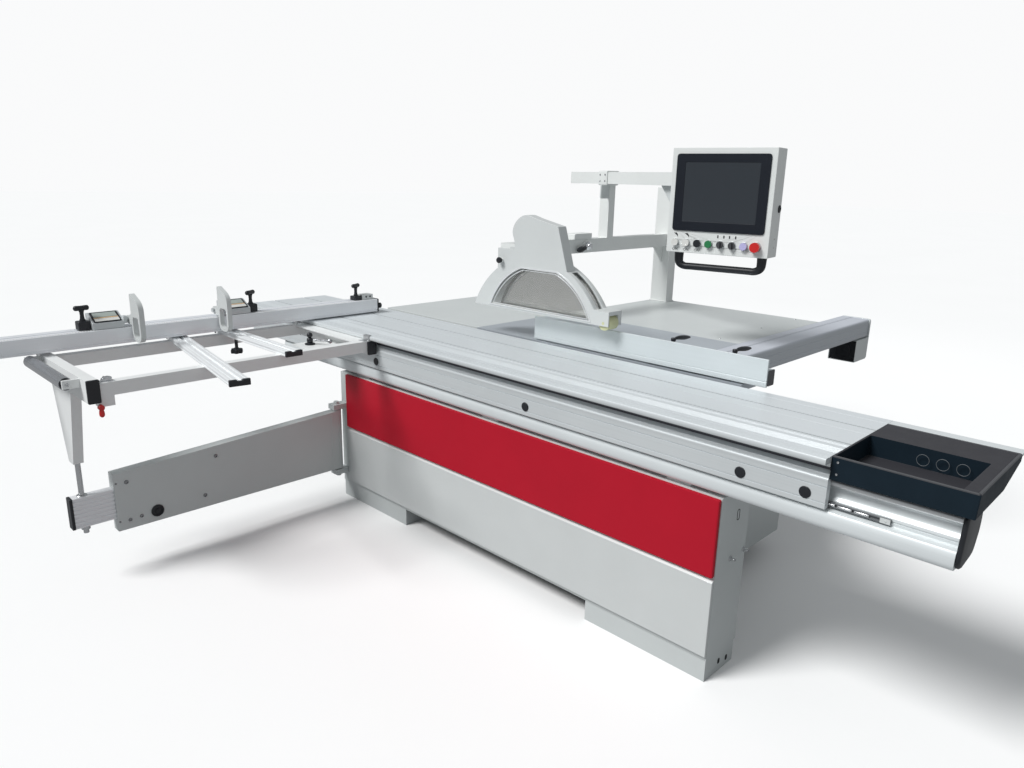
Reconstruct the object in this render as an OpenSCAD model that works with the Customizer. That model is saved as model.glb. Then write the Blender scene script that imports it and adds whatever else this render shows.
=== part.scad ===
// Sliding table saw with crosscut outrigger, rip fence, overhead guard and control panel.
// X points to the operator's right, Y along the cut, Z up from the floor.
// Sizes are in millimetres, measured from the blade plane, the blade axis and the floor.
// The whole machine is then set on the middle of its own floor area.

/* [Overall] */
// Sub-part to draw
// Height of the table tops above the floor
table_h = 870; // [840:5:920]
// Gap from the blade plane to the carriage and to the main table
blade_gap = 12; // [10:1:16]
// Clearance between pieces that pass each other
pass_gap = 3; // [2:0.5:4]
// Gap of pieces that slide on each other
slide_gap = 0.4; // [0.3:0.1:0.6]
// Radial running fit of pins in their bores
fit = 0.05; // [0.02:0.01:0.1]

/* [Carriage and its beam] */
// Length of the sliding carriage
car_len = 3200; // [2800:50:3600]
// Width of the carriage
car_w = 460; // [450:5:480]
// Height of the carriage at its outer leg
car_h = 155; // [150:1:160]
// Thickness of the deck beside the blade
deck_t = 25; // [20:1:26]
// Distance from the blade axis to the near end of the carriage
car_near = 1440; // [1300:10:1600]
// Lead of the carriage over the fixed beam
car_lead = 320; // [200:10:400]
// Length of the fixed beam
rail_len = 3200; // [2800:50:3600]
// Diameter of the guide rods
rod_d = 20; // [16:1:22]
// Length of the tool tray
tray_len = 350; // [250:10:400]

/* [Base] */
// Length of the base beam
base_len = 2063; // [1900:10:2300]
// Distance from the blade axis to the near end of the base
base_near = 1133; // [1050:5:1200]
// Width of the base beam
beam_w = 184; // [176:1:186]
// Drop from the table tops to the top of the base beam
beam_drop = 230; // [225:5:250]
// Height of the feet
foot_h = 80; // [60:5:90]
// Length of each foot
foot_len = 500; // [350:10:600]
// Right side of the cabinet, measured from the blade plane
cab_x1 = 600; // [560:5:620]
// Distance from the blade axis to the front of the cabinet
cab_near = 860; // [800:5:880]
// Wall of the sheet-metal cabinet
wall = 5; // [3:0.5:6]
// Height of the red panel
red_h = 260; // [200:5:280]

/* [Tables] */
// Right edge of the main table, measured from the blade plane
main_w = 660; // [650:5:700]
// Distance from the blade axis to the back edge of the main table
main_back = 460; // [450:5:480]
// Distance from the blade axis to the front edge of the wide table
main_front = 553; // [545:5:570]
// Distance from the blade axis to the front edge of the narrow table tongue
tongue_front = 918; // [900:5:960]
// Right edge of the table tongue
tongue_w = 190; // [150:5:195]
// Thickness of the main table
main_t = 25; // [20:1:28]
// Length of the rear table
rear_len = 725; // [600:25:800]
// Right edge of the right table
right_x1 = 1512; // [1505:5:1600]

/* [Outrigger] */
// Distance from the blade axis to the near beam of the outrigger
out_y0 = 600; // [540:10:620]
// Depth of the outrigger along the cut
out_depth = 570; // [560:5:600]
// Reach of the outrigger to the left of the blade plane
out_reach = 1660; // [1640:5:1700]
// Width of its beams
out_beam_w = 40; // [35:1:45]
// Height of its beams
out_beam_h = 48; // [42:1:52]
// Diameter of the support roller
roller_d = 46; // [40:1:50]
// Width of the support slats
slat_w = 70; // [60:1:80]
// Angle of the long slat
slat_turn = 9.3; // [0:0.1:12]

/* [Crosscut fence] */
// Length of the fence
fence_len = 1900; // [1850:10:2100]
// Distance from the blade plane to the right end of the fence
fence_right = 115; // [105:5:125]
// Height of the fence profile
fence_h = 64; // [60:1:70]
// Width of the fence profile
fence_w = 95; // [92:1:110]
// Position of the left stop, from the blade plane
stop_left_x = 1413; // [1300:5:1450]
// Position of the right stop, from the blade plane
stop_right_x = 870; // [860:5:950]

/* [Swing arm] */
// Length of the telescopic beam that shows
tube_out = 148; // [120:1:170]
// Width of the arm box
arm_w = 50; // [48:1:56]
// Height of the arm box at its free end
arm_end_h = 243; // [225:1:250]
// Height of the arm box at the hinge
arm_root_h = 294; // [285:1:296]
// Height of the telescopic beam
tube_h = 125; // [110:1:130]
// Diameter of the hinge pin
hinge_d = 24; // [20:1:28]

/* [Rip fence] */
// Length of the rip fence profile
rip_len = 1100; // [900:10:1150]
// Height of the rip fence profile
rip_h = 100; // [90:1:100]
// Thickness of the rip fence profile
rip_t = 50; // [45:1:52]
// Gap from the blade plane to the fence face
rip_off = 20; // [16:1:30]
// Right end of the guide beam
gbeam_x1 = 1820; // [1780:10:1900]
// Depth of the guide beam along the cut
gbeam_d = 146; // [130:2:150]
// Height of the guide beam
gbeam_h = 95; // [85:1:98]

/* [Saw unit] */
// Diameter of the saw blade
blade_d = 350; // [315:1:352]
// Thickness of the saw blade
blade_t = 3.2; // [2.8:0.1:3.8]
// Depth of the arbor below the table with the blade down
arbor_depth = 178; // [178:0.5:180]
// Diameter of the arbor in its housing
arbor_d = 40; // [35:1:45]
// Diameter of the arbor in the blade
bore_d = 30; // [25:1:32]
// Diameter of the arbor pulley
pulley_d = 90; // [80:1:92]
// Diameter of the motor pulley
drive_d = 110; // [100:1:115]
// Distance from the arbor down to the motor axis
motor_drop = 200; // [190:1:202]
// Diameter of the motor
motor_d = 180; // [160:1:182]
// Length of the motor
motor_len = 258; // [220:2:280]
// Diameter of the scoring blade
score_d = 120; // [110:1:122]
// Distance from the arbor to the scoring spindle
score_y = 245; // [242:1:248]

/* [Overhead guard] */
// Height of the lower edge of the hood above the table
hood_lift = 130; // [125:1:150]
// Height of the hood shell
hood_h = 241; // [235:1:245]
// Length of the hood
hood_len = 732; // [720:2:740]
// Width of the hood
hood_w = 85; // [80:1:90]
// Diameter of the front roller
wheel_d = 58; // [50:1:60]
// Height of the column above the table
column_h = 661; // [630:1:665]
// Height of the middle of the guard arm above the table
garm_lift = 362; // [355:1:370]
// Height of the guard arm
garm_h = 70; // [60:1:75]
// Width of the guard arm
garm_w = 60; // [50:1:66]

/* [Control panel] */
// Width of the panel
panel_w = 440; // [435:1:460]
// Height of the panel
panel_h = 430; // [420:1:440]
// Depth of the panel housing
panel_d = 110; // [90:1:115]
// Height of the top of the panel above the table
panel_lift = 830; // [820:1:850]
// Distance between the boom's two swivel axes
boom_len = 850; // [820:5:880]
// Width and height of the boom
boom_w = 60; // [50:1:64]
// Direction of the boom
boom_turn = -109.9; // [-115:0.1:-105]
// Direction of the panel's width
panel_turn = -81.3; // [-85:0.1:-78]
// Spacing of the controls
ctrl_pitch = 50; // [48:0.5:51]

/* [Hidden] */
$fn = 48;
// Overrun of the cuts
over = 6;
// Half share, for middles
half_share = 0.5;

// Heights that follow the table
beam_top = table_h - beam_drop;
hood_z = table_h + hood_lift;
hood_top = hood_z + hood_h;
column_top = table_h + column_h;
garm_z = table_h + garm_lift;
panel_top = table_h + panel_lift;

// Carriage section
car_x1 = -blade_gap;
car_x0 = car_x1 - car_w;
car_y0 = -car_near;
car_y1 = car_y0 + car_len;
car_z0 = table_h - car_h;
lip_h = 31;
slot_h = 24;
slot_d = 20;
leg_t = 24;
ledge_out = 34;
ledge_h = 18.5;
roof_t = 32;
leg2_off = 228;
leg2_t = 22;
leg2_h = 135;
edge_t = 4;
edge_c = 22;
tslot_w = 10;
tslot_t = 7;
tslot_foot_w = 18;
tslot_foot_t = 8;
tslot_shares = [0.29, 0.69];
car_in0 = car_x0 + leg_t;
car_in1 = car_x1 - leg2_off - leg2_t;
slot_z1 = table_h - lip_h;
slot_z0 = slot_z1 - slot_h;

// Fixed beam section
rod_seat = 6;
rod_drop = 84;
rod_cap = 2;
pad_h = 15;
skirt_in = 10;
skirt_c = 13;
slim_share = 0.28;
rail_wall = 16;
rail_y0 = car_y0 - car_lead;
rail_y1 = rail_y0 + rail_len;
rail_z0 = beam_top + pad_h;
rod_xa = car_in0 + slide_gap + rod_d * half_share;
rod_xb = car_in1 - slide_gap - rod_d * half_share;
rod_z = table_h - rod_drop;
rail_top = rod_z + rod_d * half_share + rod_cap;
rail_x0 = rod_xa + rod_seat;
rail_x1 = rod_xb - rod_seat;
skirt_x0 = car_x0 + skirt_in;
skirt_top = car_z0 - pass_gap;

// Roller cage
cage_t = 12;
cage_h = 14;
cage_lift = 6;
cage_window = 30;
cage_window_h = 8;
cage_pitch = 160;
cage_x0 = car_in0 + slide_gap;
cage_z0 = skirt_top + cage_lift;
cage_y0 = rail_y0 + car_lead * half_share;

// Tool tray
tray_in = 4;
tray_right = 48;
tray_t = 6;
tray_block = 150;
tray_margin = 40;
tray_lip = 22;
tray_slant = 2;
tray_x0 = car_x0 + tray_in;
tray_x1 = car_x1 - tray_right;
tray_y1 = car_y0;
tray_y0 = tray_y1 - tray_len;
tray_floor = rail_top + 2 * pass_gap;

// Base
beam_in = 20;
beam_x0 = car_x0 + beam_in;
beam_x1 = beam_x0 + beam_w;
beam_y0 = -base_near;
beam_y1 = beam_y0 + base_len;
foot_in = wall * half_share;
pad_w = 150;
pad_len = 90;
pad_shares = [0.08, 0.5, 0.92];
cab_y0 = -cab_near;
cab_in_back = 30;
cab_y1 = main_back - cab_in_back;
cab_lift = 15;
cab_z0 = foot_h + cab_lift;
step_x = 20;
split_in = 23;
split_y = -main_front + split_in;
shelf_drop = 100;
shelf_z = table_h - shelf_drop;
under_z = table_h - main_t;
rfoot_w = 120;
rfoot_len = 140;
rfoot_in = 300;
port_d = 120;
port_wall = 4;
port_len = 60;
port_x = 300;
port_z = 260;
panel_t = 16;
panel_end = 60;
panel_drop = 2;
low_t = 12;
low_lift = 17;
low_z0 = foot_h + low_lift;
low_gap = 6;
red_z1 = beam_top - panel_drop;
red_z0 = red_z1 - red_h;
low_z1 = red_z0 - low_gap;
panel_y1 = beam_y1 - panel_end;

// Swing arm hinge
piv_out = 48;
piv_in = 25;
piv_x = beam_x0 - piv_out;
piv_y = beam_y1 - piv_in;
lug_w = 56;
lug_t = 24;
arm_share = 0.19;
arm_z0 = table_h * arm_share;
lug_gap = 4;
sleeve_d = 44;
sleeve_over = 3;
pin_over = 12;
sleeve_z0 = arm_z0 - sleeve_over;
sleeve_z1 = arm_z0 + arm_root_h + sleeve_over;
arm_wall = 3;
arm_start = 8;
arm_solid = 40;
tube_w = 40;
tube_lift = 55;
tube_z0 = arm_z0 + tube_lift;
tube_share = 0.88;
tube_wall = 4;
pin_back = 40;
arm_x1 = piv_x - arm_start;
pin_x = out_beam_w * half_share - out_reach;
tube_x0 = pin_x - pin_back;
arm_x0 = tube_x0 + tube_out;
tube_x1 = arm_x0 + tube_share * (arm_x1 - arm_x0);
pin_d = 20;
pin_nut_d = 32;
pin_nut_h = 14;
pin_stub = 30;
ring_d = 38;
ring_h = 4;
rod_gap_z = 1;

// Tables
rib_h = 45;
rib_t = 15;
tongue_rib_t = 12;
tongue_rib_in = 60;
rear_in = 8;
rear_over = 20;
apron_h = 55;
apron_t = 4;
rear_x0 = blade_gap + rear_in;
rear_x1 = main_w + rear_over;
rear_y0 = main_back;
rear_y1 = rear_y0 + rear_len;
brace_t = 10;
brace_drop = 330;
brace_mid_drop = 80;
brace_tip_drop = 70;
brace_low = table_h - brace_drop;
brace_mid = table_h - brace_mid_drop;
brace_tip = table_h - brace_tip_drop;
brace_in = 20;
brace_end = 32;
brace_ya = -300;
brace_yb = 250;

// Outrigger
out_gap = 6;
hook_in = 4;
hook_len = 70;
hook_ina = 20;
left_beam_h = 80;
right_beam_w = 42;
right_beam_h = 60;
slat_t = 20;
out_top = table_h - slat_t;
out_x0 = -out_reach;
out_x1 = car_x0 - out_gap;
out_y1 = out_y0 + out_depth;
left_drop = 5;
left_top = table_h - left_drop;
roller_off = 40;
roller_x = out_x0 - roller_off;
roller_z = table_h - roller_d * half_share;
roller_in = 78;
roller_out = 62;
roller_y0 = out_y0 + roller_in;
roller_y1 = out_y1 - roller_out;
axle_d = 12;
ear_t = 12;
ear_h = 30;
ear_gap = 4;
leg_w = 36;
leg_share = 0.552;
leg_z0 = table_h * leg_share;
leg_top_d = 233;
leg_end_d = 52;
leg_t2 = 4;
leg_x0 = pin_x - leg_w * half_share;
leg_shift = 10;
leg_y = piv_y + leg_shift;
rod_z0 = tube_z0 + tube_h + ring_h + rod_gap_z;
stud_d = 16;
out_span = out_x1 - out_x0;
stud_share = 0.93;
stud_x = out_x0 + stud_share * out_span;
stud_h = 50;
plate_w = 222;
plate_in = 200;
plate_len = 140;
plate_drop = 50;
plate_t = 6;
plate_x0 = out_x1 - plate_w;
plate_y0 = out_y0 + plate_in;
plate_y1 = plate_y0 + plate_len;
plate_z0 = out_top - plate_drop;
side_plate_w = 90;
bracket_in = 34;
bracket_x0 = out_x0 + bracket_in;
bracket_w = 52;
bracket_h = 36;
slat_a_share = 0.64;
slat_b_share = 0.33;
slat_front = 40;
slat_back = 20;
slat_b_front = 320;
slat_a_x = out_x0 + slat_a_share * out_span;
slat_a_y0 = out_y0 - slat_front;
slat_a_y1 = out_y1 + slat_back;
slat_b_x = out_x0 + slat_b_share * out_span;
slat_b_y = out_y0 - slat_b_front;
slat_b_len = 915;
groove_w = 12;
groove_t = 6;
lever_hub_d = 20;
lever_hub_h = 20;
lever_len = 34;
lever_d = 14;
red_in = 2;
red_drop = 34;
red_x = bracket_x0 + red_in;
red_z = out_top - out_beam_h - red_drop;
ball_in = 60;
ball_back = 80;
ball_hub_x = plate_x0 + ball_in;
ball_hub_y = plate_y0 + ball_back;
ball_hub_d = 30;
ball_hub_h = 32;
ball_d = 24;
ball_len = 95;
ball_turn = -53;
ball_rod_d = 9;
star_d = 50;
star_h = 24;
star_drop = 78;
star_z = out_top - star_drop;
star_x = slat_a_x;
star_stem_d = 12;
star_cut_d = 14;
star_count = 6;

// Crosscut fence
fence_lift = 6;
fence_back = 84;
fence_y0 = out_y1 - fence_back;
fence_y1 = fence_y0 + fence_w;
fence_z0 = table_h + fence_lift;
fence_z1 = fence_z0 + fence_h;
fence_x1 = -fence_right;
fence_x0 = fence_x1 - fence_len;
fence_wall = 4;
fence_slot_w = 12;
boss_d = 40;
boss_h = 30;
piv2_in = 54;
piv2_y = fence_y0 + piv2_in;
star_in = 22;
star_y = fence_y0 - star_in;
clamp_in = 125;
clamp_end = 15;
clamp_side = 19;
clamp_d = 50;
clamp_x0 = fence_x1 - clamp_in;
clamp_x1 = fence_x1 - clamp_end;
clamp_y0 = fence_y0 + clamp_side;
clamp_y1 = clamp_y0 + clamp_d;
clamp_h = 22;
knob_in = 22;
knob_c_x = clamp_x0 + knob_in;

// Flip stops
stop_w = 120;
stop_d = 80;
stop_in = 9;
stop_front_h = 26;
stop_back_h = 60;
stop_ridge = 15;
base_w = 45;
base_d = 40;
base_h = 36;
flap_t = 20;
flap_gap = 20;
flap_pin_d = 12;
flap_head_d = 20;
flap_head_t = 8;
flap_in = 30;
flap_up = 27.6;
flap_out = 102;
flap_low = 8;
flap_high = 113;
flap_c = 16;
flap_rim = 14;
flap_fall = 30;
flap_round = 30;
ear_back = 14;
ear_low = 18;
ear_high = 17;
stem_d = 18;
stem_h = 42;
tbar_d = 20;
tbar_len = 48;
stop_z0 = fence_z1 + slide_gap;
stop_y0 = fence_y0 + stop_in;
stop_y1 = stop_y0 + stop_d;
knob_y = stop_y0 + stop_d * half_share;
flap_front = fence_y0 - pass_gap - flap_head_t;
flap_piv_y = fence_y0 + flap_in;
flap_piv_z = stop_z0 + flap_up;
flap_y0 = fence_y0 - flap_out;
flap_z0 = fence_z0 + flap_low;
flap_z1 = flap_piv_z + flap_high;

// Rip fence
rip_lift = 6;
rip_y1 = 94;
rip_y0 = rip_y1 - rip_len;
rip_wall = 4;
board_t = 8;
foot_up = 4;
foot_top = 60;
rip_z0 = table_h + rip_lift;
rip_z1 = rip_z0 + rip_h;
rip_x1 = rip_off + rip_t;
gbeam_y1 = -main_front;
gbeam_y0 = gbeam_y1 - gbeam_d;
gbeam_z1 = table_h;
gbeam_z0 = gbeam_z1 - gbeam_h;
gbeam_wall = 5;
endplate_t = 10;
endplate_side = 6;
endplate_drop = 120;
endplate_rise = 2;
drive_w = 157;
drive_in = 12;
drive_gap = 3;
head_w = 190;
head_front = 151;
head_back = 73;
head_y0 = gbeam_y0 - head_front;
head_y1 = gbeam_y1 + head_back;
head_t = 17;
head_block_w = 38;
head_block_h = 60;
head_hook_in = 130;
head_hook_t = 41;
head_hook_h = 70;
head_end_in = 90;
head_z0 = table_h + slide_gap;
head_x0 = rip_x1 + slide_gap;
head_x1 = head_x0 + head_w;
lever_in = 79;
lever_x = head_x0 + lever_in;
lever_a_in = 60;
lever_b_in = 40;
lever_ya = head_y1 - lever_a_in;
lever_yb = head_y0 + lever_b_in;
lever_gap = 0.5;
lever_stem_d = 16;
lever_stem_h = 62;
lever_bar_w = 18;
lever_bar_t = 12;
lever_bar_len = 105;

// Saw unit
tilt_r = 260;
tilt_ro = 290;
tilt_ri = 230;
tilt_t = 15;
tilt_y = 325;
tilt_pin_d = 20;
tilt_slot_c = 0.5;
tilt_gap = 3;
tilt_angles = [12, 50];
tilt_turn = 45;
tilt_margin_turn = 5.5;
tilt_rim_turn = 13;
hang_x0 = 170;
hang_x1 = 240;
hang_low = 215;
frame_t = 12;
frame_x0 = 20;
frame_x1 = 240;
frame_top = 60;
frame_low = 515;
frame_low_x = 150;
frame_side = 385;
tie_w = 38;
tie_h = 34;
lift_rod_d = 25;
lift_rod_x = 100;
lift_rod_y = 280;
lift_top = 140;
lift_low = 430;
lift_block_w = 40;
lift_block_h = 20;
frame_y1 = tilt_y - tilt_gap;
frame_y0 = frame_y1 - frame_t;
score_low = 1.5;
score_t = 3;
score_spindle_d = 20;
score_house_d = 50;
score_x0 = 12;
score_x1 = 120;
score_flange_d = 44;
score_nut_d = 24;
score_nut_t = 6;
score_link_x0 = 60;
score_link_x1 = 110;
score_link_h = 34;
score_z = table_h - score_low - score_d * half_share;
score_end = 6;
plate_x = 60;
carrier_t = 15;
carrier_y0 = -200;
carrier_y1 = 240;
carrier_top = 68;
carrier_low = 252;
wing_x1 = 125;
wing_y0 = 255;
wing_y1 = 303;
wing_top = 72;
wing_low = 162;
house_d = 90;
house_x0 = 14;
house_x1 = 95;
post_d = 20;
post_y = 78;
post_z = 40;
motor_x0 = 130;
motor_flange_t = 12;
motor_flange = 100;
motor_flange_h = 90;
motor_box_x = 120;
motor_box_w = 90;
motor_box_h = 40;
motor_box_d = 50;
motor_bore_len = 70;
shaft_d = 38;
shaft_tip = 2;
pulley_x0 = 100;
pulley_t = 24;
groove_d = 4;
groove_pitch = 6;
flange_d = 90;
flange_t = 8;
nut_d = 36;
nut_t = 14;
tooth_count = 36;
tooth_h = 6;
tooth_share = 0.35;
arbor_z = table_h - arbor_depth;
motor_z = arbor_z - motor_drop;

// Overhead guard
hood_x0 = -45;
hood_x1 = hood_x0 + hood_w;
hood_wall = 3;
hood_half = hood_len * half_share;
hood_rise = hood_h;
hood_shift = 50;
hood_r = (hood_half * hood_half + hood_rise * hood_rise) / (2 * hood_rise);
hood_c = hood_top - hood_r;
win_rim = 84;
win_low = 8;
win_top = 50;
win_shift = 28;
win_lift = 51;
win_y = hood_shift - win_shift;
win_r = hood_r - win_rim;
win_c = hood_c + win_lift;
nose_y = 360;
nose_in = 280;
nose_h = 60;
nose_top = 60;
glass_lap = 7;
glass_t = 3;
rim_slot_w = 36;
rim_slot_y0 = -285;
rim_slot_y1 = -140;
rim_slot_low = 44;
spout_w = 50;
spout_top = 171;
spout_top2 = 133;
spout_base_y0 = -135;
spout_base_y1 = 166;
spout_y0 = -79;
spout_y1 = 109;
spout_y2 = 160;
spout_y3 = 181;
spout_low = 44;
spout_bend = 52;
spout_mid = 99;
spout_high = 143;
duct_d = 62;
duct_wall = 3;
duct_len = 60;
duct_z = 90;
duct_y = 40;
duct_in = 20;
wheel_y = 334;
wheel_z = 12;
wheel_w = 56;
wheel_x0 = -38;
wheel_axle_d = 12;
wheel_gap = 1;
hinge2_d = 20;
hinge2_y = 395;
hood_piv_y = 243;
hood_piv_drop = 20;
hood_piv_z = garm_z - hood_piv_drop;
lug2_t = 10;
lug2_y = 150;
lug2_low = 41;
lug2_high = 23;
lug2_back = 25;
lug2_drop = 76;
knuckle_t = 20;
knuckle_in = 28;
column_w = 70;
column_d = 110;
column_in = 82;
column_back = 120;
column_x0 = right_x1 - column_in;
column_y0 = main_back - column_back;
column_plate = 5;
column_plate_t = 6;
gusset = 90;
gusset_t = 10;
garm_gap = 85;
garm_x0 = hood_x1 + garm_gap;
garm_y0 = hinge2_y - garm_w * half_share;
garm_y1 = hinge2_y + garm_w * half_share;
garm_z0 = garm_z - garm_h * half_share;
garm_z1 = garm_z + garm_h * half_share;
post2_w = 50;
post2_x = 885;
post2_over = 10;
post2_top = column_top + post2_over;
post2_pin_d = 30;
post2_pin_h = 56;
disc_d = 64;
disc_t = 8;
disc_x = 690;
hl_gap = 0.5;
hl_hub_d = 44;
hl_hub_t = 22;
hl_bar_d = 18;
hl_bar_len = 95;
hl_turn = 12;

// Control panel
boom_gap = 3;
boom_tail = 340;
boom_tip = 26;
boom_wall = 4;
boom_z0 = post2_top + boom_gap;
boom_z1 = boom_z0 + boom_w;
sw_d = 24;
sw_over = 14;
sw_x = post2_x + boom_len * cos(boom_turn);
sw_y = hinge2_y + boom_len * sin(boom_turn);
lug3_w = 60;
lug3_t = 9;
lug3_gap = 1.5;
panel_x0 = -137;
panel_x1 = panel_x0 + panel_w;
panel_back = -36;
panel_front = panel_back - panel_d;
panel_z1 = panel_top;
panel_z0 = panel_z1 - panel_h;
panel_wall = 3;
screen_side = 22;
screen_top = 24;
screen_low = 92;
screen_proud = 4;
screen_lap = 12;
screen_t = 12;
ctrl_low = 42;
ctrl_z = panel_z0 + ctrl_low;
ctrl_in = 40;
ctrl_count = 8;
stem2_d = 22;
stem2_len = 30;
stem2_gap = 0.4;
cap_d = 30;
cap_t = 8;
cap_gap = 5;
mush_d = 40;
mush_t = 14;
mush_neck = 9;
dial_d = 27;
dial_t = 12;
grip_w = 8;
grip_t = 8;
handle_d = 24;
handle_in = 38;
handle_drop = 70;
handle_y = panel_back - panel_d * half_share;

// Middle of the floor area
frame_x = (fence_x0 + gbeam_x1 + endplate_t) * half_share;
frame_y = (tray_y0 + car_y1) * half_share;

// Box between two corners
module box(a, b) {
  translate(a)
    cube(b - a);
}

// Round bars along each direction
module bar_x(d, x0, x1, y, z) {
  translate([x0, y, z])
    rotate([0, 90, 0])
      cylinder(d = d, h = x1 - x0);
}

module bar_y(d, x, y0, y1, z) {
  translate([x, y1, z])
    rotate([90, 0, 0])
      cylinder(d = d, h = y1 - y0);
}

module bar_z(d, x, y, z0, z1) {
  translate([x, y, z0])
    cylinder(d = d, h = z1 - z0);
}

// Plates cut to an outline, standing across X or Y
module slab_x(pts, x0, x1) {
  translate([x0, 0, 0])
    rotate([90, 0, 90])
      linear_extrude(x1 - x0)
        polygon(pts);
}

module slab_y(pts, y0, y1) {
  translate([0, y1, 0])
    rotate([90, 0, 0])
      linear_extrude(y1 - y0)
        polygon(pts);
}

module slab_z(pts, z0, z1) {
  translate([0, 0, z0])
    linear_extrude(z1 - z0)
      polygon(pts);
}

// Sets a piece on the middle of the machine's floor area
module placed() {
  translate([-frame_x, -frame_y, 0])
    children();
}

module at_boom() {
  translate([post2_x, hinge2_y, 0])
    rotate([0, 0, boom_turn])
      children();
}

module at_panel() {
  translate([sw_x, sw_y, 0])
    rotate([0, 0, panel_turn])
      children();
}

// Fixed pieces
module cabinet_shell() {
  difference() {
    union() {
      box([beam_x0, beam_y0, foot_h], [beam_x1, beam_y1, beam_top]);
      box([beam_x1 - wall, cab_y0, cab_z0], [cab_x1, cab_y1, beam_top]);
      box([step_x, cab_y0, cab_z0], [tongue_w, cab_y1, shelf_z]);
      box([step_x, split_y, cab_z0], [cab_x1, cab_y1, under_z]);
      bar_y(port_d, port_x, cab_y1 - wall, cab_y1 + port_len, port_z);
    }
    box([beam_x0 + wall, beam_y0 + wall, foot_h - over],
      [beam_x1 - wall, beam_y1 - wall, beam_top - wall]);
    box([beam_x1, cab_y0 + wall, cab_z0 + wall],
      [cab_x1 - wall, split_y + wall + over, beam_top - wall]);
    box([step_x + wall, cab_y0 + wall, cab_z0 + wall],
      [tongue_w - wall, split_y + wall + over, shelf_z - wall]);
    box([beam_x1, split_y + wall, cab_z0 + wall],
      [cab_x1 - wall, cab_y1 - wall, table_h]);
    bar_y(port_d - 2 * port_wall, port_x, cab_y1 - wall - over, cab_y1 + port_len + over, port_z);
  }
}

module hinge_lug(z0) {
  box([piv_x - lug_w * half_share, piv_y - arm_w * half_share, z0],
    [beam_x0 + wall, piv_y + piv_in, z0 + lug_t]);
}

module base_cabinet() {
  color("gainsboro") {
    cabinet_shell();
    box([beam_x0 + foot_in, beam_y0 + foot_in, 0],
      [beam_x1 - foot_in, beam_y0 + foot_len, foot_h + wall]);
    box([beam_x0 + foot_in, beam_y1 - foot_len, 0],
      [beam_x1 - foot_in, beam_y1 - foot_in, foot_h + wall]);
    box([cab_x1 - rfoot_w, cab_y0 + rfoot_in, 0],
      [cab_x1, cab_y0 + rfoot_in + rfoot_len, cab_z0 + wall]);
    box([cab_x1 - rfoot_w, cab_y1 - rfoot_len, 0], [cab_x1, cab_y1, cab_z0 + wall]);
    for (s = pad_shares)
      translate([(beam_x0 + beam_x1 - pad_w) * half_share,
        beam_y0 + s * base_len - pad_len * half_share,
        beam_top - wall])
        cube([pad_w, pad_len, pad_h + wall]);
    hinge_lug(sleeve_z0 - lug_gap - lug_t);
    hinge_lug(sleeve_z1 + lug_gap);
    bar_z(hinge_d, piv_x, piv_y, sleeve_z0 - lug_gap - lug_t - pin_over,
      sleeve_z1 + lug_gap + lug_t + pin_over);
  }
}

module upper_panel() {
  color("crimson")
    box([beam_x0 - panel_t, beam_y0, red_z0], [beam_x0, panel_y1, red_z1]);
}

module lower_panel() {
  color("whitesmoke")
    slab_y([[beam_x0, low_z0], [beam_x0, low_z1], [beam_x0 - low_t, low_z1 - low_t],
      [beam_x0 - low_t, low_z0]], beam_y0, panel_y1);
}

module main_table() {
  color("darkgray") {
    slab_z([[blade_gap, -tongue_front], [tongue_w, -tongue_front], [tongue_w, -main_front],
      [main_w, -main_front], [main_w, main_back], [blade_gap, main_back]], under_z, table_h);
    box([main_w - rib_t, -main_front, under_z - rib_h], [main_w, main_back, under_z]);
    box([tongue_w, -main_front, under_z - rib_h], [main_w, -main_front + rib_t, under_z]);
    box([rear_x0, main_back - rib_t, under_z - rib_h], [main_w, main_back, under_z]);
    box([step_x, cab_y0, shelf_z], [step_x + tongue_rib_t, -main_front + rib_t, under_z]);
    box([tongue_w - tongue_rib_t, cab_y0, shelf_z], [tongue_w, -main_front + rib_t, under_z]);
  }
}

module tray_sheet(a, b) {
  difference() {
    box(a, b);
    box([a[0] + apron_t, a[1] + apron_t, a[2] - over],
      [b[0] - apron_t, b[1] - apron_t, b[2] - apron_t]);
  }
}

module rear_table() {
  color("lightgray")
    tray_sheet([rear_x0, rear_y0, table_h - apron_h], [rear_x1, rear_y1, table_h]);
}

module brace(y) {
  slab_y([[cab_x1, brace_low], [cab_x1, brace_mid], [main_w + brace_in, brace_mid],
    [main_w + brace_in, table_h - apron_t * half_share],
    [right_x1 - brace_end, table_h - apron_t * half_share],
    [right_x1 - brace_end, brace_tip]], y, y + brace_t);
}

module right_table() {
  color("lightgray") {
    tray_sheet([main_w, -main_front, table_h - apron_h], [right_x1, main_back, table_h]);
    brace(brace_ya);
    brace(brace_yb);
  }
}

module rail_beam() {
  color("silver")
    difference() {
      slab_y([[skirt_x0 + skirt_c, rail_z0], [rail_x1, rail_z0], [rail_x1, rail_top],
        [rail_x0, rail_top], [rail_x0, skirt_top], [skirt_x0 + 2 * skirt_c, skirt_top],
        [skirt_x0 + skirt_c, skirt_top - skirt_c * slim_share],
        [skirt_x0 + skirt_c * slim_share, skirt_top - skirt_c], [skirt_x0, skirt_top - 2 * skirt_c],
        [skirt_x0 + skirt_c * slim_share, rail_z0 + skirt_c * half_share]], rail_y0, rail_y1);
      box([rail_x0 + rail_wall, rail_y0 - over, rail_z0 + rail_wall],
        [rail_x1 - rail_wall, rail_y1 + over, rail_top - rail_wall]);
      bar_y(rod_d + 2 * fit, rod_xa, rail_y0 - over, rail_y1 + over, rod_z);
      bar_y(rod_d + 2 * fit, rod_xb, rail_y0 - over, rail_y1 + over, rod_z);
    }
}

module rail_rods() {
  color("white") {
    bar_y(rod_d, rod_xa, rail_y0, rail_y1, rod_z);
    bar_y(rod_d, rod_xb, rail_y0, rail_y1, rod_z);
  }
}

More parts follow.
